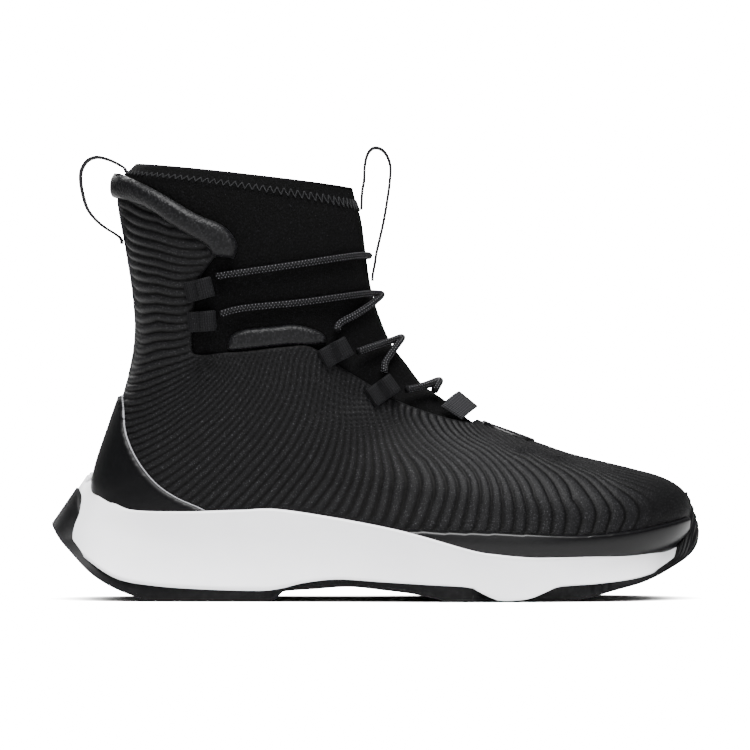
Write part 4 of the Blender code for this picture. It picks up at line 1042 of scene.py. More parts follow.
@dataclass(frozen=True)
class SockliningTextile:
    """Textile of the insole: dark grey open knit over foam."""

    dark: str = "#232326"
    light: str = "#3a3a3e"
    knit_mm: float = 1.3

    def make(self) -> bpy.types.Material:
        """Dark grey knit."""
        n = Nodes("insole_textile", 0.9, 0.2, sheen=0.1)
        loops = n.cells(self.knit_mm)
        n.paint(n.mix(n.step(loops, 0.1, 0.6), self.light, self.dark))
        n.bump(((loops, 0.25), (n.noise(0.4, 2.0), 0.05)))
        return n.material


@dataclass(frozen=True)
class SewingThread:
    """Thread of the seams: a little lighter than the knit, so that the stitches read."""

    dark: str = "#0a0a0b"
    light: str = "#29292b"

    def make(self) -> bpy.types.Material:
        """Dark grey twisted thread."""
        n = Nodes("thread", 0.6, 0.12)
        twist = n.math('SINE', n.math('ADD', n.math('MULTIPLY', n.value("run"), 9000.0),
                                      n.math('MULTIPLY', n.value("spin"), 6.28)))
        n.paint(n.mix(n.step(twist, -0.5, 1.0), self.dark, self.light))
        n.bump(((n.step(twist, -1.0, 1.0), 0.08),))
        return n.material


@dataclass(frozen=True)
class StudioFloor:
    """Plain pale floor of the studio."""

    base: str = "#f4f4f4"
    glow: float = 20.0
    contact: float = 0.035

    def make(self) -> bpy.types.Material:
        """Pale matt floor that glows white to the camera, but for a painted shadow from ambient occlusion where the
        boot stands.
        """
        n = Nodes("studio_floor", 0.9, 0.2)
        n.paint(n.mix(n.noise(400.0, 2.0), self.base, "#f6f6f6"))
        n.shader.inputs["Emission Color"].default_value = colour("#ffffff")
        # painted shadow: ambient occlusion near the boot turns the camera-seen glow down
        shade = n.add("ShaderNodeAmbientOcclusion", {"Distance": self.contact}, samples=12).outputs["AO"]
        open_floor = n.step(shade, 0.30, 0.80, 0.0, self.glow)
        seen = n.add("ShaderNodeLightPath").outputs["Is Camera Ray"]
        n.paint(n.math('MULTIPLY', open_floor, seen), "Emission Strength")
        return n.material


class Finish(Enum):
    """Finishes of the boot."""

    KNIT = KnitNeoprene
    RIBBED = RibbedTextile
    FILM = MattFilm
    BAND = SatinBand
    PADDED = GrainedPad
    WEBBING = WovenWebbing
    EYELET = BlackWebbing
    CORD = BraidedCord
    FOAM = MouldedFoam
    RUBBER = MattRubber
    INSOLE = SockliningTextile
    THREAD = SewingThread


class Palette:
    """Each finish, made once."""

    def __init__(self) -> None:
        """Makes every material."""
        self.made = {finish: finish.value().make() for finish in Finish}

    def dress(self, piece: bpy.types.Object, finish: Finish) -> None:
        """Give a piece its only material."""
        piece.data.materials.clear()
        piece.data.materials.append(self.made[finish])


def hand_over(piece: bpy.types.Object, palette: Palette, finish: Finish, *nodes: str) -> None:
    """Dress a piece, tie it to the boot and let it stand for its CAD nodes.

    Args:
        piece: the finished object.
        palette: the finishes.
        finish: the one it takes.
        nodes: CAD nodes it replaces.
    """
    palette.dress(piece, finish)
    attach(piece, "root")
    if nodes:
        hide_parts(*nodes)
    LOG.info("built %s: %d faces", piece.name, len(piece.data.polygons))


# ---------------------------------------------------------------- upper


def rounded(edge: np.ndarray, radius: float) -> np.ndarray:
    """Share of full height at a distance from the border, for an edge of a radius."""
    u = np.clip(edge / radius, 0.0, 1.0)
    return np.sqrt(np.maximum(1 - (1 - u) ** 2, 0.0))


@dataclass
class Shell:
    """Ribbed shell, open at the ankle window and the throat."""

    shaft_depth: float = 0.0012
    quarter_depth: float = 0.0009
    vamp_depth: float = 0.0009
    cell: tuple[float, float] = (0.00075, 0.00085)
    vamp_start: tuple[float, float] = (0.015, 0.045)
    shaft_start: tuple[float, float] = (0.088, 0.102)
    shaft_end: tuple[float, float] = (-0.06, -0.04)
    toe_fade: tuple[float, float] = (0.100, 0.128)
    border_fade: float = 0.0028
    rim_fade: tuple[float, float] = (-0.0005, 0.003)
    band_fade: tuple[float, float] = (-0.0005, 0.0015)
    overlay_fade: tuple[float, float] = (-0.0003, 0.0012)
    band_span: tuple[float, float] = (0.012, 0.1385)
    cuff_front: float = -0.0715
    mean_share: float = 0.55
    edge_roll: tuple[float, float] = (0.0004, 0.0008)

    def ridge(self, patch: Patch) -> tuple[np.ndarray, np.ndarray]:
        """Crest share and depth of the ribs, flat beside borders and under overlays.

        Args:
            patch: points of the shell.

        Returns:
            Share of the crest's height, 0 in a groove, and depth in metres.
        """
        x, z = patch.base[:, 0], patch.base[:, 2]
        number = RibField().read(patch.base)
        middle = 2 * (number - np.floor(number)) - 1
        vamp = ease(*self.vamp_start, x)
        profile = 1 - np.abs(middle) ** (2 + vamp)
        shaft = ease(*self.shaft_start, z) * (1 - ease(*self.shaft_end, x))
        depth = self.shaft_depth * shaft + self.quarter_depth * (1 - shaft)
        depth = depth * (1 - vamp) + self.vamp_depth * vamp
        fade = 1 - ease(*self.toe_fade, x)
        fade *= ease(0.0, self.border_fade, patch.edge)
        rim = read_curve(RIM, x)
        fade *= ease(*self.rim_fade, z - rim)
        rand = read_curve(RAND_TOP, np.clip(x, 0.0116, 0.138))
        beside = (x > self.band_span[0]) & (x < self.band_span[1])
        fade *= np.where(beside, ease(*self.band_fade, z - rand), 1.0)
        counter = smooth(side(COUNTER_FRONT))
        order = np.argsort(counter[:, 1])
        front = np.interp(z, counter[order, 1], counter[order, 0])
        fade *= np.where(z < height(2.031), ease(*self.overlay_fade, x - front), 1.0)
        cuff = smooth(side(CUFF_LOW))
        order = np.argsort(cuff[:, 0])
        low = np.interp(x, cuff[order, 0], cuff[order, 1])
        fade *= np.where(x < self.cuff_front, ease(*self.overlay_fade, low - z), 1.0)
        return profile, depth * fade

    def lift(self, patch: Patch) -> np.ndarray:
        """Height of the shell's face over the form."""
        profile, depth = self.ridge(patch)
        roll, radius = self.edge_roll
        return depth * (profile - self.mean_share) - roll * (1 - rounded(patch.edge, radius))

    def extra(self, patch: Patch) -> dict[str, np.ndarray]:
        """Crest share, which the finish turns into painted shade in the grooves, 0.6 where there are no ribs."""
        profile, depth = self.ridge(patch)
        weight = np.clip(depth / 0.0005, 0.0, 1.0)
        return {"ridge": profile * weight + 0.6 * (1 - weight)}

    def build(self, palette: Palette) -> None:
        """Shell, replacing the CAD solid."""
        outline = np.concatenate([
            side([(-0.60, 2.935)]), smooth(side(SHELL_TOP), 4), smooth(side(WINDOW), 4),
            side([(0.170, 2.000), (0.600, 2.000), (0.600, 0.30), (0.400, 0.28), (0.300, 0.30), (0.100, 0.42),
                  (0.000, 0.55), (-0.150, 0.75), (-0.300, 0.78), (-0.600, 0.78)])])
        piece = Panel("shell_ribbed", outline, (0.3, FORM.last - 0.001), (-math.pi, math.pi), self.cell,
                      self.lift, -SHELL_WALL, closed=False, extra=self.extra).build()
        hand_over(piece, palette, Finish.RIBBED, "shell")


@dataclass
class Bootie:
    """Knit inner boot with a bound collar."""

    around: int = 190
    outer_rows: int = 190
    inner_rows: int = 90
    binding: float = 0.0080
    binding_lift: float = 0.0005
    gather: float = 0.00022
    gathers: int = 74
    stitch_pitch: float = 0.0030
    stitch_swing: float = 0.0012
    thread: float = 0.00026

    def depth_under_rim(self, t: np.ndarray, turn: np.ndarray) -> np.ndarray:
        """Distance down the form from the rim."""
        first = FORM.base(np.zeros_like(turn), turn)
        return np.linalg.norm(FORM.base(t, turn) - first, axis=-1)

    def build(self, palette: Palette) -> None:
        """Two skins and a rolled rim, as one closed piece, and its stitches."""
        turns = np.arange(self.around) * 2 * math.pi / self.around
        outer_t = FORM.rows_by_length(0.0, FORM.last, 0.285 / self.outer_rows, (0.6, 1.6, 2.3))
        inner_t = FORM.rows_by_length(0.0, FORM.last, 0.285 / self.inner_rows, (0.6, 1.6, 2.3))
        rings = []
        for t in outer_t[::-1][1:]:
            ts = np.full(self.around, t)
            under = self.depth_under_rim(ts, turns)
            bound = 1 - ease(self.binding - 0.0006, self.binding, under)
            pleat = ease(self.binding, self.binding + 0.002, under) * (1 - ease(0.016, 0.030, under))
            lift = BOOTIE_OUTER + self.binding_lift * bound
            lift = lift + self.gather * pleat * np.cos(self.gathers * turns)
            rings.append(FORM.point(ts, turns, lift))
        rim = FORM.base(np.zeros(self.around), turns)
        normal = FORM.normal(np.zeros(self.around), turns)
        up = FORM.base(np.zeros(self.around), turns) - FORM.base(np.full(self.around, 0.05), turns)
        up /= np.linalg.norm(up, axis=1, keepdims=True)
        high = BOOTIE_OUTER + self.binding_lift
        wall = (high - BOOTIE_INNER) / 2
        middle = (high + BOOTIE_INNER) / 2
        for angle in np.radians([0, 30, 60, 90, 120, 150, 180]):
            rings.append(rim + normal * (middle + wall * math.cos(angle)) + up * (wall * math.sin(angle) - wall))
        for t in inner_t[1:-1]:
            ts = np.full(self.around, t)
            if self.depth_under_rim(ts, turns).min() < 0.002:
                continue
            rings.append(FORM.point(ts, turns, np.full(self.around, BOOTIE_INNER)))
        count = self.around
        vertices = np.concatenate(rings + [FORM.point(np.array([FORM.last]), np.array([0.0]), BOOTIE_OUTER),
                                           FORM.point(np.array([FORM.last]), np.array([0.0]), BOOTIE_INNER)])
        faces = [(k * count + a, k * count + (a + 1) % count, (k + 1) * count + (a + 1) % count, (k + 1) * count + a)
                 for k in range(len(rings) - 1) for a in range(count)]
        tip, end, last = len(rings) * count, len(rings) * count + 1, (len(rings) - 1) * count
        faces += [(tip, (a + 1) % count, a) for a in range(count)]
        faces += [(end, last + a, last + (a + 1) % count) for a in range(count)]
        hand_over(make_object("bootie_knit", vertices, faces), palette, Finish.KNIT, "bootie")
        self.stitch(palette)

    def stitch(self, palette: Palette) -> None:
        """Zigzag seam that holds the binding."""
        turns = np.linspace(0, 2 * math.pi, 1400, endpoint=False)
        spots = FORM.base(np.zeros(1400), turns)
        run = np.concatenate([[0.0], np.cumsum(np.linalg.norm(np.diff(spots, axis=0), axis=1))])
        pitches = round(run[-1] / self.stitch_pitch)
        phase = run / run[-1] * pitches
        swing = self.stitch_swing * (np.abs((phase % 1.0) * 2 - 1) * 2 - 1)
        first = FORM.base(np.full(1400, 0.0), turns)
        second = FORM.base(np.full(1400, 0.5), turns)
        length = np.linalg.norm(second - first, axis=1)
        t = (self.binding - 0.0022 + swing) / length * 0.5
        path = FORM.point(t, turns, np.full(1400, BOOTIE_OUTER + self.binding_lift + self.thread * 0.4))
        piece = join_parts("collar_stitch", [tube(path, self.thread, 6, closed=True)])
        hand_over(piece, palette, Finish.THREAD)


@dataclass
class Overlays:
    """Panels laid over the shell: cuff, lobes, counter, band and tip."""

    cuff_wall: float = 0.0030
    lobe_proud: float = 0.0012
    counter_wall: float = 0.0015
    rand_wall: float = 0.0017
    tip_wall: float = 0.0009

    def cuff(self, palette: Palette) -> None:
        """Padded wing round the back of the shaft."""
        outline = np.concatenate([side([(-0.60, 2.950)]), smooth(side(CUFF_TOP), 4),
                                  smooth(side(CUFF_LOW), 4), side([(-0.60, 2.848)])])
        piece = Panel("cuff_padded", outline, (0.1, 4.2), (-math.pi, math.pi), (0.0010, 0.0013),
                      lambda p: GAP + self.cuff_wall * rounded(p.edge, 0.0045), GAP - 0.0002).build()
        hand_over(piece, palette, Finish.PADDED, "cuff")

    def lobes(self, palette: Palette) -> None:
        """Padded panel on each side of the ankle."""
        outline = np.concatenate([smooth(side(LOBE_TOP), 4), smooth(side(LOBE_LOW), 4)])
        for name, turns in (("ankle_lobe_outer", (-2.6, -0.5)), ("ankle_lobe_inner", (0.5, 2.6))):
            piece = Panel(name + "_padded", outline, (5.0, 8.6), turns, (0.0006, 0.0008),
                          lambda p: -SHELL_WALL + (SHELL_WALL + self.lobe_proud) * rounded(p.edge, 0.0028),
                          -SHELL_WALL - 0.0002).build()
            hand_over(piece, palette, Finish.PADDED, name)

    def counter(self, palette: Palette) -> None:
        """Film round the back of the heel."""
        outline = np.concatenate([side([(-0.60, 2.031)]), smooth(side(COUNTER_FRONT), 4),
                                  side([(-0.60, 0.850)])])
        piece = Panel("heel_counter_film", outline, (6.5, 14.5), (-math.pi, math.pi), (0.0011, 0.0013),
                      lambda p: GAP + self.counter_wall * rounded(p.edge, 0.0012), GAP - 0.0002).build()
        hand_over(piece, palette, Finish.FILM, "heel_counter")

    def rand(self, palette: Palette) -> None:
        """Band along the forefoot above the foam."""
        top = smooth(side(RAND_TOP), 4)
        right = top[-1, 0]
        lower = smooth(side(RIM))
        lower = lower[(lower[:, 0] > top[0, 0]) & (lower[:, 0] < right)][::-1] - (0.0, 0.0030)
        outline = np.concatenate([top, [[right, height(0.60)]], lower])
        piece = Panel("rand_band", outline, (11.0, FORM.last - 0.02), (-math.pi, math.pi), (0.0010, 0.0012),
                      lambda p: GAP + self.rand_wall * rounded(p.edge, 0.0014), GAP - 0.0002).build()
        hand_over(piece, palette, Finish.BAND, "rand")

    def tip(self, palette: Palette) -> None:
        """End piece of the throat on the vamp."""
        outline = np.concatenate([smooth(side(TIP_LOW), 4), side([(0.25, 1.80), (0.166, 1.80)])])
        piece = Panel("throat_tip_film", outline, (12.0, 19.0), (-1.3, 1.3), (0.0006, 0.0008),
                      lambda p: GAP + self.tip_wall * rounded(p.edge, 0.0010), GAP - 0.0002).build()
        hand_over(piece, palette, Finish.BAND, "throat_tip")

    def build(self, palette: Palette) -> None:
        """Every overlay."""
        self.cuff(palette)
        self.lobes(palette)
        self.counter(palette)
        self.rand(palette)
        self.tip(palette)


@dataclass
class Insole:
    """Cupped insole inside the bootie."""

    thickness: float = 0.0030
    reach: float = 1.15
    rows: int = 150
    columns: int = 64

    def build(self, palette: Palette) -> None:
        """A thick strip of the form's floor, closed round its border."""
        ts = np.linspace(10.2, FORM.last - 0.8, self.rows)
        turns = math.pi + np.linspace(-self.reach, self.reach, self.columns)
        t, turn = np.meshgrid(ts, turns, indexing="ij")
        t, turn = t.ravel(), turn.ravel()
        low = BOOTIE_INNER + 0.0004
        edge = np.minimum((self.reach - np.abs(turn - math.pi)) * 0.030, (t - ts[0]) * 0.02)
        edge = np.minimum(edge, (ts[-1] - t) * 0.01)
        high = low - (self.thickness + 0.0004) * rounded(edge, 0.003) - 0.0002
        top = FORM.point(t, turn, high)
        under = FORM.point(t, turn, np.full(len(t), low))
        count, width = len(t), self.columns
        faces = []
        for k in range(self.rows - 1):
            for a in range(width - 1):
                quad = (k * width + a, k * width + a + 1, (k + 1) * width + a + 1, (k + 1) * width + a)
                faces += [quad, tuple(v + count for v in quad[::-1])]
        loop = [(0, a) for a in range(width)] + [(k, width - 1) for k in range(1, self.rows)]
        loop += [(self.rows - 1, a) for a in range(width - 2, -1, -1)] + [(k, 0) for k in range(self.rows - 2, 0, -1)]
        ids = [k * width + a for k, a in loop]
        faces += [(b, a, a + count, b + count) for a, b in zip(ids, ids[1:] + ids[:1])]
        hand_over(make_object("insole_textile", np.concatenate([top, under]), faces), palette,
                  Finish.INSOLE, "insole")


# ---------------------------------------------------------------- sole


@dataclass
class SoleLoft:
    """Columns of the sole between its plan rows, and its rings."""

    degrees: float = 0.75
    base_lift: float = 0.0022

    def __post_init__(self) -> None:
        """Fractional plan rows at even turns, and the plan's values there."""
        table = np.array(PLAN_ROWS, dtype=float)
        dense = np.linspace(0, len(table) - 1, 4000)
        turns = np.maximum.accumulate(catmull(table[:, :1], dense)[:, 0])
        wanted = np.arange(0.0, 180.0 + self.degrees / 2, self.degrees)
        self.index = np.interp(wanted, turns, dense)
        self.index[0], self.index[-1] = 0.0, len(table) - 1.0
        self.plan = catmull(table, self.index)
        self.turn = np.radians(np.clip(wanted, 0.0, 180.0))
        self.table = table

    def along(self, rear: float, toe: float) -> np.ndarray:
        """Places along the shoe between two ends."""
        return rear + (toe - rear) * (1 - np.cos(self.turn)) / 2

    @staticmethod
    def loop(outer: np.ndarray, inner: np.ndarray) -> np.ndarray:
        """Ring from the outer side's points and the inner side's."""
        return np.concatenate([outer, inner[-2:0:-1]])

    def ring(self, rear: float, toe: float, inset: float, z: np.ndarray, lobe_inset: float = 0.0,
             wave: float | np.ndarray = 0.0) -> np.ndarray:
        """Level loop of the sole.

        Args:
            rear: its end at the heel.
            toe: its end at the toe.
            inset: how far its sides are drawn in.
            z: heights, one for each column.
            lobe_inset: how far they are drawn in beside the foam's lobe.
            wave: how far they are drawn in by surface detail.

        Returns:
            Ring points.
        """
        x = self.along(rear, toe)
        ends = np.minimum(1.0, np.sin(self.turn) / math.sin(math.radians(30)))
        lobe = np.clip(self.plan[:, 3], 0.0, 1.0)
        half = np.maximum(self.plan[:, 1] * BALL_WIDTH - inset * ends - lobe_inset * lobe - wave, 0.0)
        half[0] = half[-1] = 0.0
        swing = self.plan[:, 2] * BALL_WIDTH + SIDE_SHIFT
        x = x + np.asarray(wave) * np.cos(self.turn)
        return self.loop(np.stack([x, swing - half, z], axis=1), np.stack([x, swing + half, z], axis=1))

    def form_ring(self, offset: float, sink: float = 0.0, base: bool = False) -> np.ndarray:
        """Loop on the form at the rim's heights, by an offset and a sink, or near its base.

        Args:
            offset: distance outside the form.
            sink: how far below the rim's line.
            base: whether the loop lies just above the form's base line instead.

        Returns:
            Ring points.
        """
        rows = len(self.table)
        ends = []
        for key, span in ((0, FORM.BACK_ROWS), (-1, (FORM.TOE_ROW, FORM.last))):
            ts = np.linspace(*span, 400)
            spots = FORM.point(ts, np.full(400, math.pi), np.full(400, offset))
            goal_x, goal_z = side([RIM[key]])[0]
            k = int(np.argmin(np.abs(spots[:, 2] - (goal_z - sink)) + 0.1 * np.abs(spots[:, 0] - goal_x)))
            ends.append(spots[k])
        turns = np.radians(self.table[:, 0])
        x = ends[0][0] + (ends[1][0] - ends[0][0]) * (1 - np.cos(turns)) / 2
        z = read_curve(RIM, x) - sink
        floor = np.interp(x, FORM.rows[10:, 0], FORM.rows[10:, 1]) + self.base_lift
        z = floor if base else np.maximum(z, floor)
        sides = []
        for sign in (-1, 1):
            t, turn = FORM.find(np.stack([x, z], axis=1), sign)
            spots = FORM.point(t, turn, np.full(rows, offset))
            spots[:, 0], spots[:, 2] = x, z
            spots[0], spots[-1] = ends
            if base:
                spots[0, 2], spots[-1, 2] = z[0], z[-1]
            sides.append(catmull(spots, self.index))
        return self.loop(*sides)


def ring_faces(rings: int, size: int, ends: bool = True) -> list[tuple[int, ...]]:
    """Faces of a stack of rings, its first and last closed by strips across.

    Args:
        rings: number of rings.
        size: points in each.
        ends: whether the first ring is closed too.

    Returns:
        Faces.
    """
    faces = [(k * size + a, k * size + (a + 1) % size, (k + 1) * size + (a + 1) % size, (k + 1) * size + a)
             for k in range(rings - 1) for a in range(size)]
    half = size // 2
    for base in ((0, (rings - 1) * size) if ends else ((rings - 1) * size,)):
        faces.append((base, base + 1, base + size - 1))
        faces += [(base + k, base + k + 1, base + size - k - 1, base + size - k) for k in range(1, half - 1)]
        faces.append((base + half - 1, base + half, base + half + 1))
    return faces


@dataclass
class Midsole:
    """Foam midsole, hollowed along its sides, with the cup round the upper."""

    ground_inset: float = 0.0018
    rim_round: float = 0.0010
    press: float = -0.0006
    cup_sinks: tuple[float, float] = (0.006, 0.014)
    steps: int = 16

    def build(self, palette: Palette) -> None:
        """Rings from the floor of the foam over its rim and down the cup."""
        loft = SoleLoft(1.5)
        rear, toe = EDGE[0][0] * LENGTH, EDGE[-1][0] * LENGTH
        low = read_curve(EDGE, loft.along(rear, toe))
        edge = loft.ring(rear, toe, 0.0, low)
        foot = loft.ring(rear + LOBE_FOOT, toe - LOBE_FOOT, LOBE_FOOT, read_curve(EDGE, loft.along(
            rear + LOBE_FOOT, toe - LOBE_FOOT)))
        floor_inset = LOBE_FOOT + self.ground_inset
        floor = loft.ring(rear + floor_inset, toe - floor_inset, floor_inset,
                          read_curve(INNER, loft.along(rear + floor_inset, toe - floor_inset)))
        rim = loft.form_ring(RIM_WALL)
        scoop = np.concatenate([loft.plan[:, 5], loft.plan[-2:0:-1, 5]])
        swing = np.concatenate([loft.plan[:, 2], loft.plan[-2:0:-1, 2]]) * BALL_WIDTH + SIDE_SHIFT
        profile = np.array([(0.0, 0.0)] + [tuple(p) for p in SCOOP_PROFILE] + [(1.0, 0.0)])
        rings = [floor, foot + (edge - foot) * 0.85, edge]
        for share in np.linspace(0, 1, self.steps + 1)[1:-1]:
            depth = SCOOP * float(np.interp(share, *smooth(profile, 6).T))
            spot = edge + (rim - edge) * share
            inward = np.stack([np.zeros(len(spot)), swing - spot[:, 1], np.zeros(len(spot))], axis=1)
            inward[0] = (1.0, 0.0, 0.0)
            inward[len(loft.turn) - 1] = (-1.0, 0.0, 0.0)
            inward /= np.maximum(np.linalg.norm(inward, axis=1, keepdims=True), 1e-9)
            rings.append(spot + inward * (depth * scoop)[:, None])
        wall = loft.form_ring(self.press)
        inner = wall - rim
        size = np.linalg.norm(inner, axis=1, keepdims=True)
        unit = inner / np.maximum(size, 1e-9)
        up = np.array([0.0, 0.0, 1.0])
        for angle in np.radians([0, 30, 60, 90]):
            rings.append(rim + unit * self.rim_round * (1 - math.cos(angle)) + up * self.rim_round
                         * (math.sin(angle) - 1.0))
        rings.append(wall)
        rings += [loft.form_ring(self.press, sink) for sink in self.cup_sinks]
        rings.append(loft.form_ring(self.press, base=True))
        faces = ring_faces(len(rings), len(rim))
        hand_over(make_object("midsole_foam", np.concatenate(rings), faces), palette, Finish.FOAM, "midsole")


@dataclass
class Outsole:
    """Rubber outsole with toe wrap, ridges, teeth and tread."""

    side_inset: float = 0.0009
    ground_inset: float = 0.0018
    steps: int = 24
    across: int = 34
    ridge: float = 0.0005
    tooth: float = 0.00035
    tooth_pitch: float = 0.0026
    flute: float = 0.0005
    flute_pitch: float = 0.0040
    tread: float = 0.0011
    tread_pitch: float = 0.0085
    toe_ridges: int = 5
    toe_start: tuple[float, float] = (0.112, 0.122)
    arch_start: tuple[float, float] = (-0.052, -0.046)
    arch_end: tuple[float, float] = (0.012, 0.018)
    flutes_start: tuple[float, float] = (0.078, 0.082)
    flutes_end: tuple[float, float] = (0.100, 0.108)
    chevron: float = 0.35
    rim_sink: float = 0.0004
    cap_inset: float = 0.0040

    def wave(self, x: np.ndarray, share: float) -> np.ndarray:
        """Surface detail of the side.

        Args:
            x: places along the shoe.
            share: share of the side's height.

        Returns:
            How far the side is drawn in at each place.
        """
        turn = ease(*self.toe_start, x)
        ridges = self.ridge * turn * (0.5 - 0.5 * math.cos(share * self.toe_ridges * 2 * math.pi))
        arch = ease(*self.arch_start, x) * (1 - ease(*self.arch_end, x))
        teeth = self.tooth * arch * (0.5 + 0.5 * np.sign(np.sin(2 * math.pi * x / self.tooth_pitch)))
        front = ease(*self.flutes_start, x) * (1 - ease(*self.flutes_end, x))
        flutes = self.flute * front * (0.5 + 0.5 * np.cos(2 * math.pi * x / self.flute_pitch))
        fade = 1.0 if 0.02 < share < 0.98 else 0.0
        return (ridges + teeth + flutes) * fade

    def build(self, palette: Palette) -> None:
        """Tread, side rings and the cap under the foam."""
        loft = SoleLoft(0.5)
        rear, toe = GROUND[0][0] * LENGTH, GROUND[-1][0] * LENGTH
        lip_rear, wrap_toe = -0.461 * LENGTH, 0.4805 * LENGTH
        away = LOBE_FOOT + 0.0010
        ground = read_curve(GROUND, loft.along(rear, toe))
        edge_x = loft.along(EDGE[0][0] * LENGTH, EDGE[-1][0] * LENGTH)
        top = read_curve(EDGE, edge_x) + self.rim_sink + np.maximum(loft.plan[:, 4], 0.0) * LEVEL_HEIGHTS[1]
        top = np.maximum(top, ground + self.rim_sink)
        rings = [loft.ring(rear + 0.0004, toe - 0.0004, self.ground_inset, ground, away)]
        for share in np.linspace(0, 1, self.steps + 1)[1:]:
            ring_rear = rear + (lip_rear - rear) * share
            ring_toe = toe + (wrap_toe - toe) * share ** 1.4
            wave = self.wave(loft.along(ring_rear, ring_toe), share)
            rings.append(loft.ring(ring_rear, ring_toe, self.side_inset, ground + (top - ground) * share,
                                   away, wave))
        rings.append(loft.ring(lip_rear + 0.003, wrap_toe - 0.003, self.cap_inset, top - 0.0006, away))
        size = len(rings[0])
        faces = ring_faces(len(rings), size, ends=False)
        vertices = [np.concatenate(rings)]
        half = size // 2
        shares = np.linspace(0, 1, self.across + 1)[1:-1]
        shift = size * len(rings)
        left = rings[0][1:half]
        right = rings[0][:half:-1]
        rows = left[:, None] + (right - left)[:, None] * shares[None, :, None]
        x, y = rows[..., 0], rows[..., 1]
        phase = (x + self.chevron * np.abs(y - SIDE_SHIFT)) / self.tread_pitch
        groove = ease(0.60, 0.72, np.abs(2 * (phase - np.floor(phase)) - 1))
        border = ease(0.06, 0.14, np.minimum(shares, 1 - shares))[None, :]
        rows[..., 2] += self.tread * groove * border
        vertices.append(rows.reshape(-1, 3))
        inner = len(shares)
        for k in range(half - 2):
            line = [k + 1] + [shift + k * inner + a for a in range(inner)] + [size - k - 1]
            after = [k + 2] + [shift + (k + 1) * inner + a for a in range(inner)] + [size - k - 2]
            faces += [(line[a], line[a + 1], after[a + 1], after[a]) for a in range(inner + 1)]
        first = [1] + [shift + a for a in range(inner)] + [size - 1]
        last = [half - 1] + [shift + (half - 2) * inner + a for a in range(inner)] + [half + 1]
        faces += [(0, first[a + 1], first[a]) for a in range(inner + 1)]
        faces += [(half, last[a], last[a + 1]) for a in range(inner + 1)]
        hand_over(make_object("outsole_rubber", np.concatenate(vertices), faces), palette, Finish.RUBBER,
                  "outsole")


# ---------------------------------------------------------------- webbing and lace


def form_spot(along: float, level: float, sign: int) -> np.ndarray:
    """Point of the form seen at one place from one side."""
    t, turn = FORM.find(side([(along, level)]), sign)
    return FORM.base(t, turn)[0]


@dataclass
class Webbing:
    """Eyelets, keeper and pull loops, of one webbing."""

    seat: float = -0.0001

    def eyelet(self, ring: tuple[float, float], tail: tuple[float, float], sign: int
               ) -> tuple[np.ndarray, list[tuple[int, ...]], dict[str, np.ndarray]]:
        """Webbing folded round the lace, its ends on the shell."""
        ring_spot, tail_spot = form_spot(*ring, sign), form_spot(*tail, sign)
        t, turn = FORM.find(side([((ring[0] + tail[0]) / 2, (ring[1] + tail[1]) / 2)]), sign)
        spot, normal = FORM.base(t, turn)[0], FORM.normal(t, turn)[0]
        ahead = ring_spot - tail_spot
        ahead -= normal * ahead.dot(normal)
        ahead /= np.linalg.norm(ahead)
        across = np.cross(normal, ahead)
        hole = LACE / 2 + LACE_ROOM + WEBBING / 2
        reach = EYELET_TAIL / 2
        low = self.seat + WEBBING / 2
        centre = low + hole
        line = [(s, low) for s in np.linspace(-reach, reach, 8)[:-1]]
        line += [(reach + hole * math.cos(a), centre + hole * math.sin(a))
                 for a in np.radians(np.arange(-90, 151, 15))]
        line += [(reach - hole - 0.0006, low + WEBBING + 0.0009), (reach - hole - 0.0020, low + WEBBING + 0.0001),
                 (-reach, low + WEBBING)]
        path = smooth(np.array(line), 2)
        points = spot + path[:, :1] * ahead + path[:, 1:] * normal
        return ribbon(points, np.tile(across, (len(points), 1)), EYELET_WIDTH, WEBBING)

    def eyelets(self, palette: Palette) -> None:
        """Four eyelets on each side."""
        for name, ring, tail in EYELETS:
            for sign, word in ((-1, "outer"), (1, "inner")):
                label = "eyelet_%s_%s" % (name, word)
                piece = join_parts(label + "_webbing", [self.eyelet(ring, tail, sign)])
                hand_over(piece, palette, Finish.EYELET, label)

    def keeper(self, palette: Palette) -> None:
        """Strap arched over the end of the throat."""
        turns = np.linspace(-KEEPER_TURN, KEEPER_TURN, 45)
        low = self.seat + WEBBING / 2
        rise = low + (KEEPER_RISE - low) * (1 - (turns / KEEPER_TURN) ** 4)
        edges = []
        for along in KEEPER:
            ts = np.linspace(7, FORM.last, 800)
            t = float(ts[int(np.argmin(np.abs(FORM.base(ts, np.zeros(800))[:, 0] - along * LENGTH)))])
            edges.append(FORM.point(np.full(45, t), turns, rise))
        middle = (edges[0] + edges[1]) / 2
        across = edges[1] - edges[0]
        width = float(np.linalg.norm(across, axis=1).mean())
        across /= np.linalg.norm(across, axis=1, keepdims=True)
        piece = join_parts("lace_keeper_webbing", [ribbon(middle, across, width, WEBBING)])
        hand_over(piece, palette, Finish.WEBBING, "lace_keeper")

    def pulls(self, palette: Palette) -> None:
        """Front and back pull loops."""
        for name, table in (("pull_loop_front", FRONT_PULL), ("pull_loop_back", BACK_PULL)):
            path = smooth(side(table), 5)
            points = np.stack([path[:, 0], np.full(len(path), SIDE_SHIFT), path[:, 1]], axis=1)
            across = np.tile([0.0, 1.0, 0.0], (len(points), 1))
            piece = join_parts(name + "_webbing", [ribbon(points, across, PULL_WIDTH, WEBBING)])
            hand_over(piece, palette, Finish.WEBBING, name)

    def build(self, palette: Palette) -> None:
        """Every piece of webbing."""
        self.eyelets(palette)
        self.keeper(palette)
        self.pulls(palette)


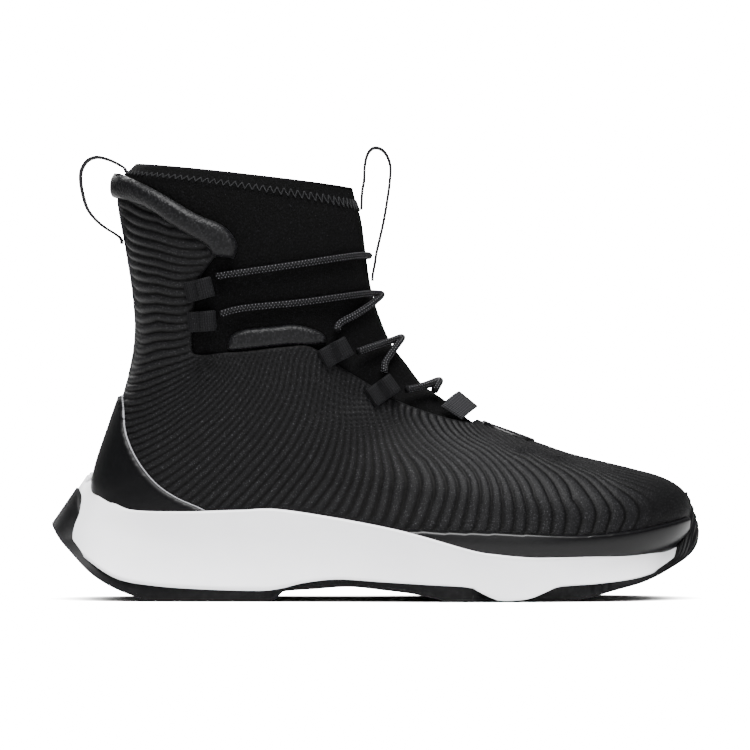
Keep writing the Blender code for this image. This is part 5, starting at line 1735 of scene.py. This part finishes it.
@dataclass
class Lace:
    """Round cord: the bar and the crossings."""

    per_span: int = 8

    def front(self, level: float) -> np.ndarray:
        """Point of the front or top line at a level."""
        ts = np.linspace(0, FORM.last, 2400)
        spots = FORM.base(ts, np.zeros(2400))
        return spots[int(np.argmin(np.abs(spots[:, 2] - height(level))))]

    def side_route(self, points: Sequence[tuple[float, float, float]], front: np.ndarray, rise: float,
                   sign: int) -> np.ndarray:
        """Points over one side, from its eyelet to the middle of the front.

        Args:
            points: places with their heights over the form.
            front: end of the route on the front line.
            rise: height of the cord there.
            sign: the side.

        Returns:
            Path points, the last one on the front line.
        """
        rows = [(along * LENGTH, height(level), lift) for along, level, lift in points]
        rows.append((front[0], front[2], rise))
        path = smooth(np.array(rows), self.per_span)
        t, turn = FORM.find(path[:, :2], sign)
        route = FORM.point(t, turn, path[:, 2])
        ts = np.linspace(0, FORM.last, 2400)
        k = int(np.argmin(np.linalg.norm(FORM.base(ts, np.zeros(2400)) - front, axis=1)))
        route[-1] = FORM.point(ts[k:k + 1], np.zeros(1), np.array([rise]))[0]
        return route

    def strand(self, upper: Sequence[tuple[float, float, float]], lower: Sequence[tuple[float, float, float]],
               level: float, rise: float, sign: int
               ) -> tuple[np.ndarray, list[tuple[int, ...]], dict[str, np.ndarray]]:
        """Cord from a side's upper places over the front to the other side's lower ones."""
        front = self.front(level)
        one = self.side_route(upper, front, rise, sign)
        two = self.side_route(lower[::-1], front, rise, -sign)[::-1]
        path = np.concatenate([one, two[1:]])
        for _ in range(6):
            path[1:-1] = path[1:-1] * 0.5 + (path[:-2] + path[2:]) * 0.25
        return tube(path, LACE / 2, 14)

    def build(self, palette: Palette) -> None:
        """The bar and the crossings of the lace. Every run of the lace that shows."""
        piece = join_parts("lace_bar_cord", [self.strand(BAR, BAR[::-1], BAR_FRONT[0], BAR_FRONT[1], -1)])
        hand_over(piece, palette, Finish.CORD, "lace_bar")
        for name, upper, level, rise, lower in CROSSINGS:
            strands = [self.strand(upper, lower, level, rise + (LACE * STACK if sign > 0 else 0.0), sign)
                       for sign in (-1, 1)]
            piece = join_parts("lace_crossing_%s_cord" % name, strands)
            hand_over(piece, palette, Finish.CORD, "lace_crossing_" + name)


# ---------------------------------------------------------------- studio


@dataclass
class Studio:
    """Floor, lights and camera of the photograph."""

    scale: float = 0.0004465
    picture: int = 750
    distance: float = 3.0
    sensor: float = 36.0
    target: tuple[float, float] = (-0.0005, 0.0998)
    fill: float = 0.22

    def build(self) -> None:
        """Set up the stage."""
        deselect()
        bpy.ops.mesh.primitive_plane_add(size=8.0, location=(0, 0, 0))
        floor = bpy.context.active_object
        floor.name = "studio_floor"
        floor.data.materials.append(StudioFloor().make())
        self.light("key_softbox", (0.0, -0.50, 1.5), 1.0, 100.0, (0.0, 0.0, 0.05))
        self.light("front_fill", (0.3, -2.2, 0.9), 1.4, 18.0, (0.0, 0.0, 0.08))
        self.light("back_rim", (-0.5, 1.4, 1.0), 0.9, 22.0, (0.0, 0.0, 0.10))
        self.world()
        self.camera()

    def light(self, name: str, place: tuple[float, float, float], size: float, power: float,
              aim: tuple[float, float, float]) -> None:
        """One square softbox aimed at a point."""
        data = bpy.data.lights.new(name, 'AREA')
        data.size = size
        data.energy = power
        item = bpy.data.objects.new(name, data)
        item.location = place
        item.rotation_euler = (Vector(aim) - Vector(place)).to_track_quat('-Z', 'Y').to_euler()
        bpy.context.scene.collection.objects.link(item)

    def world(self) -> None:
        """Soft white surroundings, full white behind the boot."""
        world = bpy.data.worlds.new("studio")
        bpy.context.scene.world = world
        world.use_nodes = True
        tree = world.node_tree
        back = tree.nodes["Background"]
        back.inputs["Color"].default_value = (1.0, 1.0, 1.0, 1.0)
        path = tree.nodes.new("ShaderNodeLightPath")
        span = tree.nodes.new("ShaderNodeMapRange")
        span.inputs[3].default_value = self.fill
        span.inputs[4].default_value = StudioFloor.glow
        tree.links.new(path.outputs["Is Camera Ray"], span.inputs[0])
        tree.links.new(span.outputs[0], back.inputs["Strength"])

    def camera(self) -> None:
        """Level camera square to the outer side."""
        data = bpy.data.cameras.new("photo_camera")
        data.sensor_width = self.sensor
        data.lens = self.sensor * self.distance / (self.scale * self.picture)
        item = bpy.data.objects.new("photo_camera", data)
        item.location = (self.target[0], -self.distance, self.target[1])
        item.rotation_euler = (math.pi / 2, 0.0, 0.0)
        bpy.context.scene.collection.objects.link(item)
        bpy.context.scene.camera = item


def main() -> None:
    """Build the boot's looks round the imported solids."""
    logging.basicConfig(level=logging.INFO, format="%(message)s")
    palette = Palette()
    Outsole().build(palette)
    Midsole().build(palette)
    Insole().build(palette)
    Bootie().build(palette)
    Shell().build(palette)
    Overlays().build(palette)
    Webbing().build(palette)
    Lace().build(palette)
    Studio().build()


if __name__ == "__main__":
    main()
